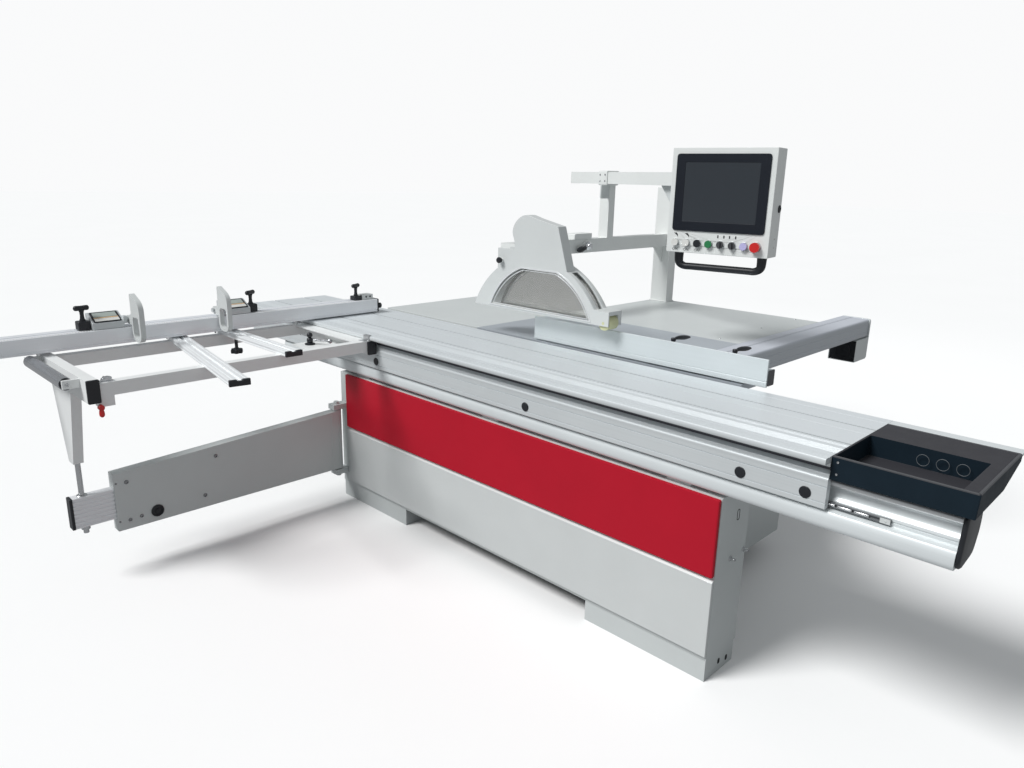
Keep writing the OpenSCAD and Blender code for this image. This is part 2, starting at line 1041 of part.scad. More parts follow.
module guide_beam() {
  color("silver")
    difference() {
      box([tongue_w, gbeam_y0, gbeam_z0], [gbeam_x1, gbeam_y1, gbeam_z1]);
      box([tongue_w - over, gbeam_y0 + gbeam_wall, gbeam_z0 + gbeam_wall],
        [gbeam_x1 + over, gbeam_y1 - gbeam_wall, gbeam_z1 - gbeam_wall]);
    }
}

module beam_end() {
  color("whitesmoke") {
    box([gbeam_x1, gbeam_y0 - endplate_side, gbeam_z0 - endplate_drop],
      [gbeam_x1 + endplate_t, gbeam_y1 + endplate_side, gbeam_z1 + endplate_rise]);
    box([gbeam_x1 - drive_w, gbeam_y0 - endplate_side, gbeam_z0 - endplate_drop],
      [gbeam_x1 + endplate_t * half_share, gbeam_y1 - drive_in, gbeam_z0 - drive_gap]);
  }
}

module guard_column() {
  color("whitesmoke") {
    box([column_x0, column_y0, table_h], [column_x0 + column_w, column_y0 + column_d, column_top]);
    box([column_x0 - column_plate, column_y0 - column_plate, table_h],
      [column_x0 + column_w + column_plate, column_y0 + column_d + column_plate,
        table_h + column_plate_t]);
    slab_y([[column_x0 + over, garm_z0], [column_x0 - gusset, garm_z0], [column_x0, garm_z0 - gusset],
      [column_x0 + over, garm_z0 - gusset]],
      hinge2_y - gusset_t * half_share, hinge2_y + gusset_t * half_share);
  }
}

module guard_arm() {
  color("whitesmoke") {
    box([garm_x0, garm_y0, garm_z0], [column_x0, garm_y1, garm_z1]);
    box([post2_x - post2_w * half_share, garm_y0, garm_z1 - over],
      [post2_x + post2_w * half_share, garm_y1, post2_top]);
    bar_z(post2_pin_d, post2_x, hinge2_y, post2_top - over, post2_top + post2_pin_h);
    box([garm_x0, hood_piv_y - knuckle_in, garm_z0], [garm_x0 + knuckle_t, garm_y1, garm_z1]);
    bar_x(hinge2_d, hood_x0 - over, garm_x0 + over, hood_piv_y, hood_piv_z);
    bar_y(disc_d, disc_x, garm_y0 - disc_t, garm_y0 + over, garm_z);
  }
}

// Wedge from the tilt axis, between two angles from straight down
function wedge(a0, a1, r) = [[0, table_h],
  [r * sin(a0), table_h - r * cos(a0)],
  [r * sin((a0 + a1) * half_share), table_h - r * cos((a0 + a1) * half_share)],
  [r * sin(a1), table_h - r * cos(a1)]];

module ring_part(ro, ri, a0, a1, y0, y1) {
  intersection() {
    difference() {
      bar_y(2 * ro, 0, y0, y1, table_h);
      bar_y(2 * ri, 0, y0 - over, y1 + over, table_h);
    }
    slab_y(wedge(a0, a1, 2 * ro), y0 - over, y1 + over);
  }
}

module tilt_support(y0, y1) {
  slot_r = tilt_pin_d * half_share + tilt_slot_c;
  difference() {
    union() {
      ring_part(tilt_ro, tilt_ri, tilt_angles[0] - tilt_turn - tilt_rim_turn,
        tilt_angles[1] + tilt_rim_turn, y0, y1);
      box([hang_x0, y0, table_h - hang_low], [hang_x1, y1, under_z]);
    }
    ring_part(tilt_r + slot_r, tilt_r - slot_r, tilt_angles[0] - tilt_turn - tilt_margin_turn,
      tilt_angles[1] + tilt_margin_turn, y0 - over, y1 + over);
  }
}

module tilt_supports() {
  color("dimgray") {
    tilt_support(-tilt_y - tilt_t, -tilt_y);
    tilt_support(tilt_y, tilt_y + tilt_t);
  }
}

// Sliding carriage
module roller_cage() {
  cage_y1 = cage_y0 + car_len;
  color("gray")
    difference() {
      box([cage_x0, cage_y0, cage_z0], [cage_x0 + cage_t, cage_y1, cage_z0 + cage_h]);
      for (y = [cage_y0 + cage_window : cage_pitch : cage_y1 - cage_pitch])
        box([cage_x0 - over, y, cage_z0 + (cage_h - cage_window_h) * half_share],
          [cage_x0 + cage_t + over, y + cage_window, cage_z0 + (cage_h + cage_window_h) * half_share]);
    }
}

module carriage() {
  color("lightsteelblue")
    difference() {
      slab_y([[car_x0 - ledge_out, table_h], [car_x0 - ledge_out, table_h - ledge_h],
        [car_x0, table_h - ledge_h], [car_x0, slot_z1], [car_x0 + slot_d, slot_z1],
        [car_x0 + slot_d, slot_z0], [car_x0, slot_z0], [car_x0, car_z0], [car_in0, car_z0],
        [car_in0, table_h - roof_t], [car_in1, table_h - roof_t], [car_in1, table_h - leg2_h],
        [car_in1 + leg2_t, table_h - leg2_h], [car_in1 + leg2_t, table_h - deck_t],
        [car_x1 - edge_c, table_h - deck_t], [car_x1, table_h - edge_t], [car_x1, table_h]],
        car_y0, car_y1);
      for (s = tslot_shares) {
        x = car_x0 + s * car_w;
        box([x - tslot_w * half_share, car_y0 - over, table_h - tslot_t],
          [x + tslot_w * half_share, car_y1 + over, table_h + over]);
        box([x - tslot_foot_w * half_share, car_y0 - over, table_h - tslot_t - tslot_foot_t],
          [x + tslot_foot_w * half_share, car_y1 + over, table_h - tslot_t]);
      }
    }
}

module tool_tray() {
  color("darkslategray")
    difference() {
      intersection() {
        slab_y([[tray_x0, tray_floor], [tray_x1 - tray_block, tray_floor],
          [tray_x1, table_h - tray_lip], [tray_x1, table_h], [tray_x0, table_h]], tray_y0, tray_y1);
        slab_x([[tray_y0, table_h], [tray_y0, table_h - tray_t], [tray_y0 + tray_slant, tray_floor],
          [tray_y1, tray_floor], [tray_y1, table_h]], tray_x0, tray_x1);
      }
      box([tray_x0 + tray_t, tray_y0 + tray_margin, tray_floor + tray_t],
        [tray_x1 - tray_block, tray_y1 - tray_t, table_h + over]);
    }
}

// Crosscut outrigger
module roller_ear(y0) {
  difference() {
    box([roller_x - ear_h * half_share, y0, roller_z - ear_h * half_share],
      [out_x0 + over, y0 + ear_t, roller_z + ear_h * half_share]);
    bar_y(axle_d + 2 * fit, roller_x, y0 - over, y0 + ear_t + over, roller_z);
  }
}

module leg_shape() {
  top = left_top - left_beam_h;
  wide = leg_top_d * half_share;
  thin = leg_end_d * half_share;
  difference() {
    slab_x([[leg_y - wide, top + over], [leg_y + wide, top + over],
      [leg_y + thin, leg_z0], [leg_y - thin, leg_z0]], leg_x0, leg_x0 + leg_w);
    slab_x([[leg_y - wide + 2 * leg_t2, top - leg_t2], [leg_y + wide - 2 * leg_t2, top - leg_t2],
      [leg_y + thin - leg_t2, leg_z0 + leg_t2], [leg_y - thin + leg_t2, leg_z0 + leg_t2]],
      leg_x0 + leg_t2, leg_x0 + leg_w + over);
  }
}

module outrigger_frame() {
  low = out_top - out_beam_h;
  color("whitesmoke") {
    box([out_x0, out_y0, low], [out_x1, out_y0 + out_beam_w, out_top]);
    box([out_x0, out_y1 - out_beam_w, low], [out_x1, out_y1, out_top]);
    box([out_x0, out_y0, left_top - left_beam_h], [out_x0 + out_beam_w, out_y1, left_top]);
    box([out_x1 - right_beam_w, out_y0, out_top - right_beam_h], [out_x1, out_y1, out_top]);
    box([out_x1 - side_plate_w, out_y0, out_top - plate_t], [out_x1, out_y1, out_top]);
    box([out_x1 - hook_in, out_y0 + hook_ina, slot_z0 + slide_gap],
      [car_x0 + slot_d - hook_in, out_y0 + hook_ina + hook_len, slot_z1 - slide_gap]);
    box([out_x1 - hook_in, out_y1 - hook_ina - hook_len, slot_z0 + slide_gap],
      [car_x0 + slot_d - hook_in, out_y1 - hook_ina, slot_z1 - slide_gap]);
    leg_shape();
    roller_ear(roller_y0 - ear_gap - ear_t);
    roller_ear(roller_y1 + ear_gap);
    bar_z(stud_d, stud_x, piv2_y, low, out_top + stud_h);
    box([plate_x0, plate_y0, plate_z0], [out_x1 - hook_in, plate_y1, plate_z0 + plate_t]);
    box([bracket_x0, out_y0, low - bracket_h],
      [bracket_x0 + bracket_w, out_y0 + out_beam_w, low + over]);
  }
}

module slat(len) {
  difference() {
    box([-slat_w * half_share, 0, out_top], [slat_w * half_share, len, table_h]);
    box([-groove_w * half_share, -over, table_h - groove_t],
      [groove_w * half_share, len + over, table_h + over]);
  }
}

module support_slats() {
  color("silver") {
    translate([slat_a_x, slat_a_y0, 0])
      slat(slat_a_y1 - slat_a_y0);
    translate([slat_b_x, slat_b_y, 0])
      rotate([0, 0, -slat_turn])
        slat(slat_b_len);
  }
}

module leg_rod() {
  color("white") {
    bar_z(pin_d, pin_x, piv_y, rod_z0, leg_z0);
    bar_z(pin_nut_d, pin_x, piv_y, leg_z0 - pin_nut_h, leg_z0);
  }
}

module outrigger_roller() {
  color("white") {
    bar_y(roller_d, roller_x, roller_y0, roller_y1, roller_z);
    bar_y(axle_d, roller_x, roller_y0 - ear_gap - ear_t, roller_y1 + ear_gap + ear_t, roller_z);
  }
}

module frame_lever() {
  color("red") {
    bar_y(lever_hub_d, red_x, out_y0 - lever_gap - lever_hub_h, out_y0 - lever_gap, red_z);
    bar_z(lever_d, red_x, out_y0 - lever_gap - lever_hub_h * half_share, red_z - lever_len, red_z);
  }
}

module clamp_lever() {
  z0 = plate_z0 + plate_t + lever_gap;
  z1 = z0 + ball_hub_h - ball_rod_d;
  color("black")
    bar_z(ball_hub_d, ball_hub_x, ball_hub_y, z0, z0 + ball_hub_h);
  color("white")
    translate([ball_hub_x, ball_hub_y, z1])
      rotate([0, 0, ball_turn]) {
        bar_x(ball_rod_d, 0, ball_len, 0, 0);
        translate([ball_len, 0, 0])
          sphere(d = ball_d);
      }
}

module under_knob() {
  color("black")
    difference() {
      union() {
        bar_z(star_d, star_x, star_y, star_z, star_z + star_h);
        bar_z(star_stem_d, star_x, star_y, star_z + star_h, out_top - lever_gap);
      }
      for (k = [0 : star_count - 1])
        bar_z(star_cut_d, star_x + star_d * half_share * cos(k * 360 / star_count),
          star_y + star_d * half_share * sin(k * 360 / star_count), star_z - over,
            star_z + star_h + over);
    }
}

module crosscut_fence() {
  y_mid = (fence_y0 + fence_y1) * half_share;
  color("gainsboro")
    difference() {
      union() {
        difference() {
          box([fence_x0, fence_y0, fence_z0], [fence_x1, fence_y1, fence_z1]);
          box([fence_x0 - over, fence_y0 + fence_wall, fence_z0 + fence_wall],
            [fence_x1 + over, fence_y1 - fence_wall, fence_z1 - fence_wall]);
          box([fence_x0 - over, y_mid - fence_slot_w * half_share, fence_z1 - fence_wall - over],
            [clamp_x0, y_mid + fence_slot_w * half_share, fence_z1 + over]);
        }
        bar_z(boss_d, stud_x, piv2_y, fence_z0, fence_z0 + boss_h);
        box([clamp_x0, clamp_y0, fence_z1 - fence_wall * half_share],
          [clamp_x1, clamp_y1, fence_z1 + clamp_h]);
      }
      bar_z(stud_d + 2 * fit, stud_x, piv2_y, fence_z0 - over, fence_z1 - fence_wall);
    }
}

// Stop with its read-out; side is the direction from the block to the flap
module stop_block(x, side) {
  e = x + side * stop_w * half_share;
  f = e + side * (flap_gap + flap_t + flap_head_t + pass_gap);
  k = x - side * stop_w * half_share;
  color("whitesmoke") {
    slab_x([[stop_y0, stop_z0], [stop_y1, stop_z0], [stop_y1, stop_z0 + stop_back_h],
      [stop_y1 - stop_ridge, stop_z0 + stop_back_h], [stop_y0, stop_z0 + stop_front_h]],
      x - stop_w * half_share, x + stop_w * half_share);
    bar_x(flap_pin_d, min(e - side * over, f), max(e - side * over, f), flap_piv_y, flap_piv_z);
    bar_x(flap_head_d, min(f, f - side * flap_head_t), max(f, f - side * flap_head_t),
      flap_piv_y, flap_piv_z);
    box([min(k + side * over, k - side * base_w), knob_y - base_d * half_share, stop_z0],
      [max(k + side * over, k - side * base_w), knob_y + base_d * half_share, stop_z0 + base_h]);
  }
}

module flap(x, side) {
  e = x + side * (stop_w * half_share + flap_gap);
  x0 = min(e, e + side * flap_t);
  low = flap_z0 + flap_round;
  near = flap_z1 - flap_fall;
  color("whitesmoke")
    difference() {
      slab_x([[flap_y0, low], [flap_y0 + flap_round, flap_z0], [flap_front - flap_round, flap_z0],
        [flap_front, low], [flap_front, flap_piv_z - ear_low],
        [flap_piv_y + ear_back, flap_piv_z - ear_low], [flap_piv_y + ear_back, flap_piv_z + ear_high],
        [flap_front + flap_c, flap_z1 - 2 * flap_c], [flap_front, flap_z1 - flap_c],
        [flap_front - flap_c, flap_z1], [flap_y0 + flap_c, near], [flap_y0, near - flap_c]],
        x0, x0 + flap_t);
      slab_x([[flap_y0 + flap_rim, low], [flap_y0 + flap_round, flap_z0 + flap_rim],
        [flap_front - flap_round, flap_z0 + flap_rim], [flap_front - flap_rim, low],
        [flap_front - flap_rim, flap_piv_z + ear_high], [flap_y0 + flap_rim, flap_piv_z + ear_high]],
        x0 - over, x0 + flap_t + over);
      bar_x(flap_pin_d + 2 * fit, x0 - over, x0 + flap_t + over, flap_piv_y, flap_piv_z);
    }
}

module t_knob(x, y, z) {
  color("black") {
    bar_z(stem_d, x, y, z, z + stem_h);
    bar_x(tbar_d, x - tbar_len * half_share, x + tbar_len * half_share, y,
      z + stem_h + tbar_d * half_share - over);
  }
}

module stop_left() {
  stop_block(-stop_left_x, 1);
}

module flap_left() {
  flap(-stop_left_x, 1);
}

module knob_left() {
  t_knob(-stop_left_x - (stop_w + base_w) * half_share, knob_y, stop_z0 + base_h + lever_gap);
}

module stop_right() {
  stop_block(-stop_right_x, -1);
}

module flap_right() {
  flap(-stop_right_x, -1);
}

module knob_right() {
  t_knob(-stop_right_x + (stop_w + base_w) * half_share, knob_y, stop_z0 + base_h + lever_gap);
}

module fence_knob() {
  t_knob(knob_c_x, (clamp_y0 + clamp_y1) * half_share, fence_z1 + clamp_h + lever_gap);
}

// Swing arm
module swing_arm() {
  y0 = piv_y - arm_w * half_share;
  y1 = piv_y + arm_w * half_share;
  slope = (arm_root_h - arm_end_h) / (arm_x1 - arm_x0);
  color("gainsboro")
    difference() {
      union() {
        slab_y([[arm_x1, arm_z0], [arm_x1, arm_z0 + arm_root_h], [arm_x0, arm_z0 + arm_end_h],
          [arm_x0, arm_z0]], y0, y1);
        bar_z(sleeve_d, piv_x, piv_y, sleeve_z0, sleeve_z1);
      }
      slab_y([[arm_x1 - arm_solid, arm_z0 + arm_wall],
        [arm_x1 - arm_solid, arm_z0 + arm_root_h - arm_wall - slope * arm_solid],
        [arm_x0 + arm_wall, arm_z0 + arm_end_h - arm_wall], [arm_x0 + arm_wall, arm_z0 + arm_wall]],
        y0 + arm_wall, y1 - arm_wall);
      box([arm_x0 - over, piv_y - tube_w * half_share - slide_gap, tube_z0 - slide_gap],
        [arm_x0 + arm_wall + over, piv_y + tube_w * half_share + slide_gap,
          tube_z0 + tube_h + slide_gap]);
      bar_z(hinge_d + 2 * fit, piv_x, piv_y, sleeve_z0 - over, sleeve_z1 + over);
    }
}

module arm_tube() {
  y0 = piv_y - tube_w * half_share;
  y1 = piv_y + tube_w * half_share;
  z1 = tube_z0 + tube_h;
  color("silver")
    difference() {
      union() {
        box([tube_x0, y0, tube_z0], [tube_x1, y1, z1]);
        bar_z(ring_d, pin_x, piv_y, z1, z1 + ring_h);
        bar_z(pin_d, pin_x, piv_y, tube_z0 - pin_stub, tube_z0);
        bar_z(pin_nut_d, pin_x, piv_y, tube_z0 - pin_nut_h, tube_z0);
      }
      box([tube_x0 + 2 * pin_back, y0 + tube_wall, tube_z0 + tube_wall],
        [tube_x1 + over, y1 - tube_wall, z1 - tube_wall]);
    }
}

// Rip fence
module rip_head() {
  color("silver") {
    box([head_x0, head_y0, head_z0], [head_x1, head_y1, head_z0 + head_t]);
    box([head_x0, head_y0, head_z0], [head_x0 + head_block_w, head_y1,
      head_z0 + head_t + head_block_h]);
    box([head_x0 + head_hook_in, gbeam_y0 - slide_gap - head_hook_t, head_z0 - head_hook_h],
      [head_x1, gbeam_y0 - slide_gap, head_z0]);
  }
}

module rip_profile() {
  color("white")
    difference() {
      union() {
        box([rip_off, rip_y0, rip_z0], [rip_off + board_t, rip_y1, rip_z1]);
        box([rip_off, rip_y0, rip_z0 + foot_up], [rip_x1, rip_y1, rip_z0 + foot_top]);
      }
      box([rip_off + board_t + rip_wall, rip_y0 - over, rip_z0 + foot_up + rip_wall],
        [rip_x1 - rip_wall, rip_y1 + over, rip_z0 + foot_top - rip_wall]);
    }
}

module rip_lever(y) {
  z = head_z0 + head_t + lever_gap;
  color("black") {
    bar_z(lever_stem_d, lever_x, y, z, z + lever_stem_h);
    box([lever_x - lever_bar_w * half_share, y - lever_bar_w * half_share, z + lever_stem_h],
      [lever_x + lever_bar_len, y + lever_bar_w * half_share, z + lever_stem_h + lever_bar_t]);
  }
}

module rip_lever_a() {
  rip_lever(lever_ya);
}

module rip_lever_b() {
  rip_lever(lever_yb);
}

// Saw unit
module tilt_plate(y0, y1) {
  slab_y([[frame_x0, table_h - frame_top], [frame_x1, table_h - frame_top],
    [frame_x1, table_h - frame_low],
    [frame_low_x, table_h - frame_low], [frame_x0, table_h - frame_side]], y0, y1);
}

module lift_rod(side) {
  y = side * lift_rod_y;
  ya = min(side * frame_y0, y - side * lift_block_w * half_share);
  yb = max(side * frame_y0, y - side * lift_block_w * half_share);
  x0 = lift_rod_x - lift_block_w * half_share;
  x1 = lift_rod_x + lift_block_w * half_share;
  bar_z(lift_rod_d, lift_rod_x, y, table_h - lift_low - lift_block_h,
    table_h - lift_top + lift_block_h);
  box([x0, ya, table_h - lift_top], [x1, yb, table_h - lift_top + lift_block_h]);
  box([x0, ya, table_h - lift_low - lift_block_h], [x1, yb, table_h - lift_low]);
}

module tilt_frame() {
  color("slategray")
    difference() {
      union() {
        tilt_plate(-frame_y1, -frame_y0);
        tilt_plate(frame_y0, frame_y1);
        for (a = tilt_angles) {
          x = tilt_r * sin(a);
          z = table_h - tilt_r * cos(a);
          bar_y(tilt_pin_d, x, -tilt_y - tilt_t, -frame_y0, z);
          bar_y(tilt_pin_d, x, frame_y0, tilt_y + tilt_t, z);
        }
        box([frame_x1 - tie_w, -frame_y0, table_h - frame_top - tie_h],
          [frame_x1, frame_y0, table_h - frame_top]);
        box([frame_x1 - tie_w, -frame_y0, table_h - frame_low],
          [frame_x1, frame_y0, table_h - frame_low + tie_h]);
        lift_rod(-1);
        lift_rod(1);
        bar_x(score_house_d, score_x0, score_x1, -score_y, score_z);
        box([score_link_x0, -frame_y0, score_z - score_link_h * half_share],
          [score_link_x1, -score_y, score_z + score_link_h * half_share]);
      }
      bar_x(score_spindle_d + 2 * fit, score_x0 - over, score_x1 + over, -score_y, score_z);
    }
}

module wing(side) {
  ya = min(side * wing_y0, side * wing_y1);
  yb = max(side * wing_y0, side * wing_y1);
  box([plate_x, ya, arbor_z - wing_low], [wing_x1, yb, arbor_z - wing_top]);
}

module saw_carrier() {
  color("slategray")
    difference() {
      union() {
        box([plate_x, carrier_y0, arbor_z - carrier_low],
          [plate_x + carrier_t, carrier_y1, arbor_z + carrier_top]);
        box([plate_x, -wing_y1, arbor_z - wing_low],
          [plate_x + carrier_t, wing_y1, arbor_z - wing_top]);
        wing(-1);
        wing(1);
        bar_x(house_d, house_x0, house_x1, 0, arbor_z);
        for (y = [-post_y, post_y])
          for (z = [motor_z - post_z, motor_z + post_z])
            bar_x(post_d, plate_x, motor_x0, y, z);
      }
      bar_x(arbor_d + 2 * fit, house_x0 - over, house_x1 + over, 0, arbor_z);
      bar_z(lift_rod_d + 2 * fit, lift_rod_x, -lift_rod_y, arbor_z - wing_low - over,
        arbor_z - wing_top + over);
      bar_z(lift_rod_d + 2 * fit, lift_rod_x, lift_rod_y, arbor_z - wing_low - over,
        arbor_z - wing_top + over);
    }
}

module main_motor() {
  color("steelblue")
    difference() {
      union() {
        box([motor_x0, -motor_flange, motor_z - motor_flange_h],
          [motor_x0 + motor_flange_t, motor_flange, motor_z + motor_flange_h]);
        bar_x(motor_d, motor_x0, motor_x0 + motor_flange_t + motor_len, 0, motor_z);
        box([motor_x0 + motor_box_x, -motor_box_d, motor_z],
          [motor_x0 + motor_box_x + motor_box_w, motor_box_d,
            motor_z + motor_d * half_share + motor_box_h]);
      }
      bar_x(shaft_d + 2 * fit, motor_x0 - over, motor_x0 + motor_bore_len, 0, motor_z);
    }
}

// Toothed outline of a saw blade
function teeth(d, n, h) = [for (k = [0 : 2 * n - 1])
  let (a = (k - (k % 2) * (1 - 2 * tooth_share)) * 180 / n, r = d * half_share - (k % 2) * h)
  [r * cos(a), r * sin(a)]];

module saw_blade() {
  color("silver")
    difference() {
      translate([0, 0, arbor_z])
        slab_x(teeth(blade_d, tooth_count, tooth_h), -blade_t * half_share, blade_t * half_share);
      bar_x(bore_d + 2 * fit, -over, over, 0, arbor_z);
    }
}

module pulley(d, y, z) {
  difference() {
    bar_x(d, pulley_x0, pulley_x0 + pulley_t, y, z);
    for (x = [pulley_x0 + groove_pitch : groove_pitch : pulley_x0 + pulley_t - groove_pitch])
      difference() {
        bar_x(d + over, x - groove_d * half_share * half_share,
          x + groove_d * half_share * half_share, y, z);
        bar_x(d - 2 * groove_d, x - groove_d, x + groove_d, y, z);
      }
  }
}

module arbor() {
  b = blade_t * half_share;
  color("white") {
    bar_x(bore_d, -b - flange_t - nut_t, b + flange_t, 0, arbor_z);
    bar_x(flange_d, b, b + flange_t, 0, arbor_z);
    bar_x(flange_d, -b - flange_t, -b, 0, arbor_z);
    bar_x(nut_d, -b - flange_t - nut_t, -b - flange_t, 0, arbor_z);
    bar_x(arbor_d, b, pulley_x0 + pulley_t + shaft_tip, 0, arbor_z);
    pulley(pulley_d, 0, arbor_z);
  }
}

module motor_pulley() {
  color("white") {
    bar_x(shaft_d, pulley_x0 - shaft_tip, motor_x0 + motor_bore_len - over, 0, motor_z);
    pulley(drive_d, 0, motor_z);
  }
}

module scoring_blade() {
  b = score_t * half_share;
  color("silver") {
    difference() {
      translate([0, -score_y, score_z])
        slab_x(teeth(score_d, tooth_count * half_share, tooth_h * half_share), -b, b);
      bar_x(score_spindle_d, -over, over, -score_y, score_z);
    }
    bar_x(score_spindle_d, -b - score_nut_t, score_x1 + score_end, -score_y, score_z);
    bar_x(score_flange_d, b, score_x0 - pass_gap, -score_y, score_z);
    bar_x(score_nut_d, -b - score_nut_t, -b, -score_y, score_z);
  }
}

// Overhead guard
module hood_solid(grow, x0, x1, z0) {
  intersection() {
    bar_x(2 * (hood_r - grow), x0, x1, hood_shift, hood_c);
    box([x0 - over, hood_shift - hood_r, z0], [x1 + over, hood_shift + hood_r, hood_top]);
  }
}

module hood_half_moon(lap, x0, x1) {
  intersection() {
    bar_x(2 * (win_r + lap), x0, x1, win_y, win_c);
    box([x0 - over, hood_shift - hood_r, hood_z + win_low - lap],
      [x1 + over, hood_shift + hood_r, hood_top - win_top + lap]);
  }
}

module hood_nose() {
  slab_x([[-nose_in, hood_z], [-nose_in, hood_z + nose_top], [-nose_y, hood_z + nose_h],
    [-nose_y, hood_z]], hood_x0, hood_x1);
}

function spout_outline(t) = [
  [spout_base_y1 - t, hood_top - spout_low], [spout_base_y1 - t, hood_top + spout_bend],
  [spout_y3 - t, hood_top + spout_mid],
  [spout_y2 - t, hood_top + spout_high - t], [spout_y1 - t, hood_top + spout_top - t],
  [spout_y0 + t, hood_top + spout_top2 - t], [spout_base_y0 + t, hood_top - spout_low]];

module hood_lug(x0) {
  difference() {
    slab_x([[lug2_y, hood_top - lug2_low], [lug2_y, hood_top + lug2_high],
      [hood_piv_y + lug2_back, hood_top + lug2_high], [hood_piv_y + lug2_back, hood_top - lug2_drop]],
      x0, x0 + lug2_t);
    bar_x(hinge2_d + 2 * fit, x0 - over, x0 + lug2_t + over, hood_piv_y, hood_piv_z);
  }
}

module guard_hood() {
  color("whitesmoke") {
    difference() {
      union() {
        hood_solid(0, hood_x0, hood_x1, hood_z);
        hood_nose();
        slab_x(spout_outline(0), hood_x0, hood_x0 + spout_w);
      }
      hood_solid(hood_wall, hood_x0 + hood_wall, hood_x1 - hood_wall, hood_z - over);
      slab_x(spout_outline(hood_wall), hood_x0 + hood_wall, hood_x0 + spout_w - hood_wall);
      hood_half_moon(0, hood_x0 - over, hood_x1 + over);
      box([hood_x0 + (hood_w - rim_slot_w) * half_share, rim_slot_y0, hood_z + rim_slot_low],
        [hood_x0 + (hood_w + rim_slot_w) * half_share, rim_slot_y1, hood_top + over]);
      box([wheel_x0 - wheel_gap, -hood_half - over, hood_z - over],
        [wheel_x0 + wheel_w + wheel_gap, -wheel_y + wheel_d * half_share + pass_gap,
        hood_z + wheel_z + wheel_d * half_share + pass_gap]);
      bar_x(duct_d - 2 * duct_wall, hood_x0 + spout_w - duct_in, hood_x0 + spout_w + over, duct_y,
        hood_top + duct_z);
      bar_x(wheel_axle_d + 2 * fit, hood_x0 - over, hood_x1 + over, -wheel_y, hood_z + wheel_z);
    }
    difference() {
      bar_x(duct_d, hood_x0 + spout_w - duct_wall, hood_x0 + spout_w + duct_len, duct_y,
        hood_top + duct_z);
      bar_x(duct_d - 2 * duct_wall, hood_x0 + spout_w - duct_in, hood_x0 + spout_w + duct_len + over,
        duct_y, hood_top + duct_z);
    }
    hood_lug(hood_x0);
    hood_lug(hood_x1 - lug2_t);
  }
}

module hood_window() {
  color("lightblue") {
    hood_half_moon(glass_lap, hood_x0 + hood_wall, hood_x0 + hood_wall + glass_t);
    hood_half_moon(glass_lap, hood_x1 - hood_wall - glass_t, hood_x1 - hood_wall);
  }
}

module hood_roller() {
  color("khaki") {
    bar_x(wheel_d, wheel_x0, wheel_x0 + wheel_w, -wheel_y, hood_z + wheel_z);
    bar_x(wheel_axle_d, hood_x0, hood_x1, -wheel_y, hood_z + wheel_z);
  }
}

module hood_lever() {
  y1 = garm_y0 - disc_t - hl_gap;
  color("black") {
    bar_y(hl_hub_d, disc_x, y1 - hl_hub_t, y1, garm_z);
    translate([disc_x, y1 - hl_hub_t * half_share, garm_z])
      rotate([0, -hl_turn, 0])
        bar_x(hl_bar_d, -hl_bar_len, 0, 0, 0);
  }
}

// Control panel
module panel_boom() {
  color("whitesmoke")
    at_boom()
      difference() {
        union() {
          difference() {
            box([-boom_tail, -boom_w * half_share, boom_z0], [boom_len, boom_w * half_share, boom_z1]);
            box([-boom_tail - over, -boom_w * half_share + boom_wall, boom_z0 + boom_wall],
              [boom_len - boom_w, boom_w * half_share - boom_wall, boom_z1 - boom_wall]);
          }
          bar_z(boom_w, boom_len, 0, boom_z0, boom_z1);
          bar_z(boom_w - 2 * boom_wall, 0, 0, boom_z0, boom_z1);
          bar_z(sw_d, boom_len, 0, boom_z0 - sw_over, boom_z1 + sw_over);
        }
        bar_z(post2_pin_d + 2 * fit, 0, 0, boom_z0 - over, boom_z1 + over);
      }
}

function ctrl_x(k) = panel_x0 + ctrl_in + k * ctrl_pitch;

module panel_lug(z0) {
  difference() {
    union() {
      box([-lug3_w * half_share, panel_back - panel_wall, z0], [lug3_w * half_share, 0, z0 + lug3_t]);
      bar_z(lug3_w, 0, 0, z0, z0 + lug3_t);
    }
    bar_z(sw_d + 2 * fit, 0, 0, z0 - over, z0 + lug3_t + over);
  }
}

module panel_box() {
  color("gainsboro")
    at_panel() {
      difference() {
        box([panel_x0, panel_front, panel_z0], [panel_x1, panel_back, panel_z1]);
        box([panel_x0 + panel_wall, panel_front + panel_wall, panel_z0 + panel_wall],
          [panel_x1 - panel_wall, panel_back - panel_wall, panel_z1 - panel_wall]);
        box([panel_x0 + screen_side + screen_lap, panel_front - over,
          panel_z0 + screen_low + screen_lap],
          [panel_x1 - screen_side - screen_lap, panel_front + panel_wall + over,
            panel_z1 - screen_top - screen_lap]);
        for (k = [0 : ctrl_count - 1])
          bar_y(stem2_d + 2 * stem2_gap, ctrl_x(k), panel_front - over,
            panel_front + panel_wall + over, ctrl_z);
      }
      panel_lug(boom_z0 - lug3_gap - lug3_t);
      panel_lug(boom_z1 + lug3_gap);
    }
}

module panel_screen() {
  color("black")
    at_panel() {
      box([panel_x0 + screen_side, panel_front - screen_proud, panel_z0 + screen_low],
        [panel_x1 - screen_side, panel_front, panel_z1 - screen_top]);
      box([panel_x0 + screen_side + screen_lap, panel_front - screen_proud,
        panel_z0 + screen_low + screen_lap],
        [panel_x1 - screen_side - screen_lap, panel_front + screen_t,
          panel_z1 - screen_top - screen_lap]);
    }
}

module panel_handle() {
  x0 = panel_x0 + handle_in;
  x1 = panel_x1 - handle_in;
  z = panel_z0 - handle_drop;
  color("black")
    at_panel() {
      bar_z(handle_d, x0, handle_y, z, panel_z0);
      bar_z(handle_d, x1, handle_y, z, panel_z0);
      bar_x(handle_d, x0, x1, handle_y, z);
      translate([x0, handle_y, z])
        sphere(d = handle_d);
      translate([x1, handle_y, z])
        sphere(d = handle_d);
    }
}

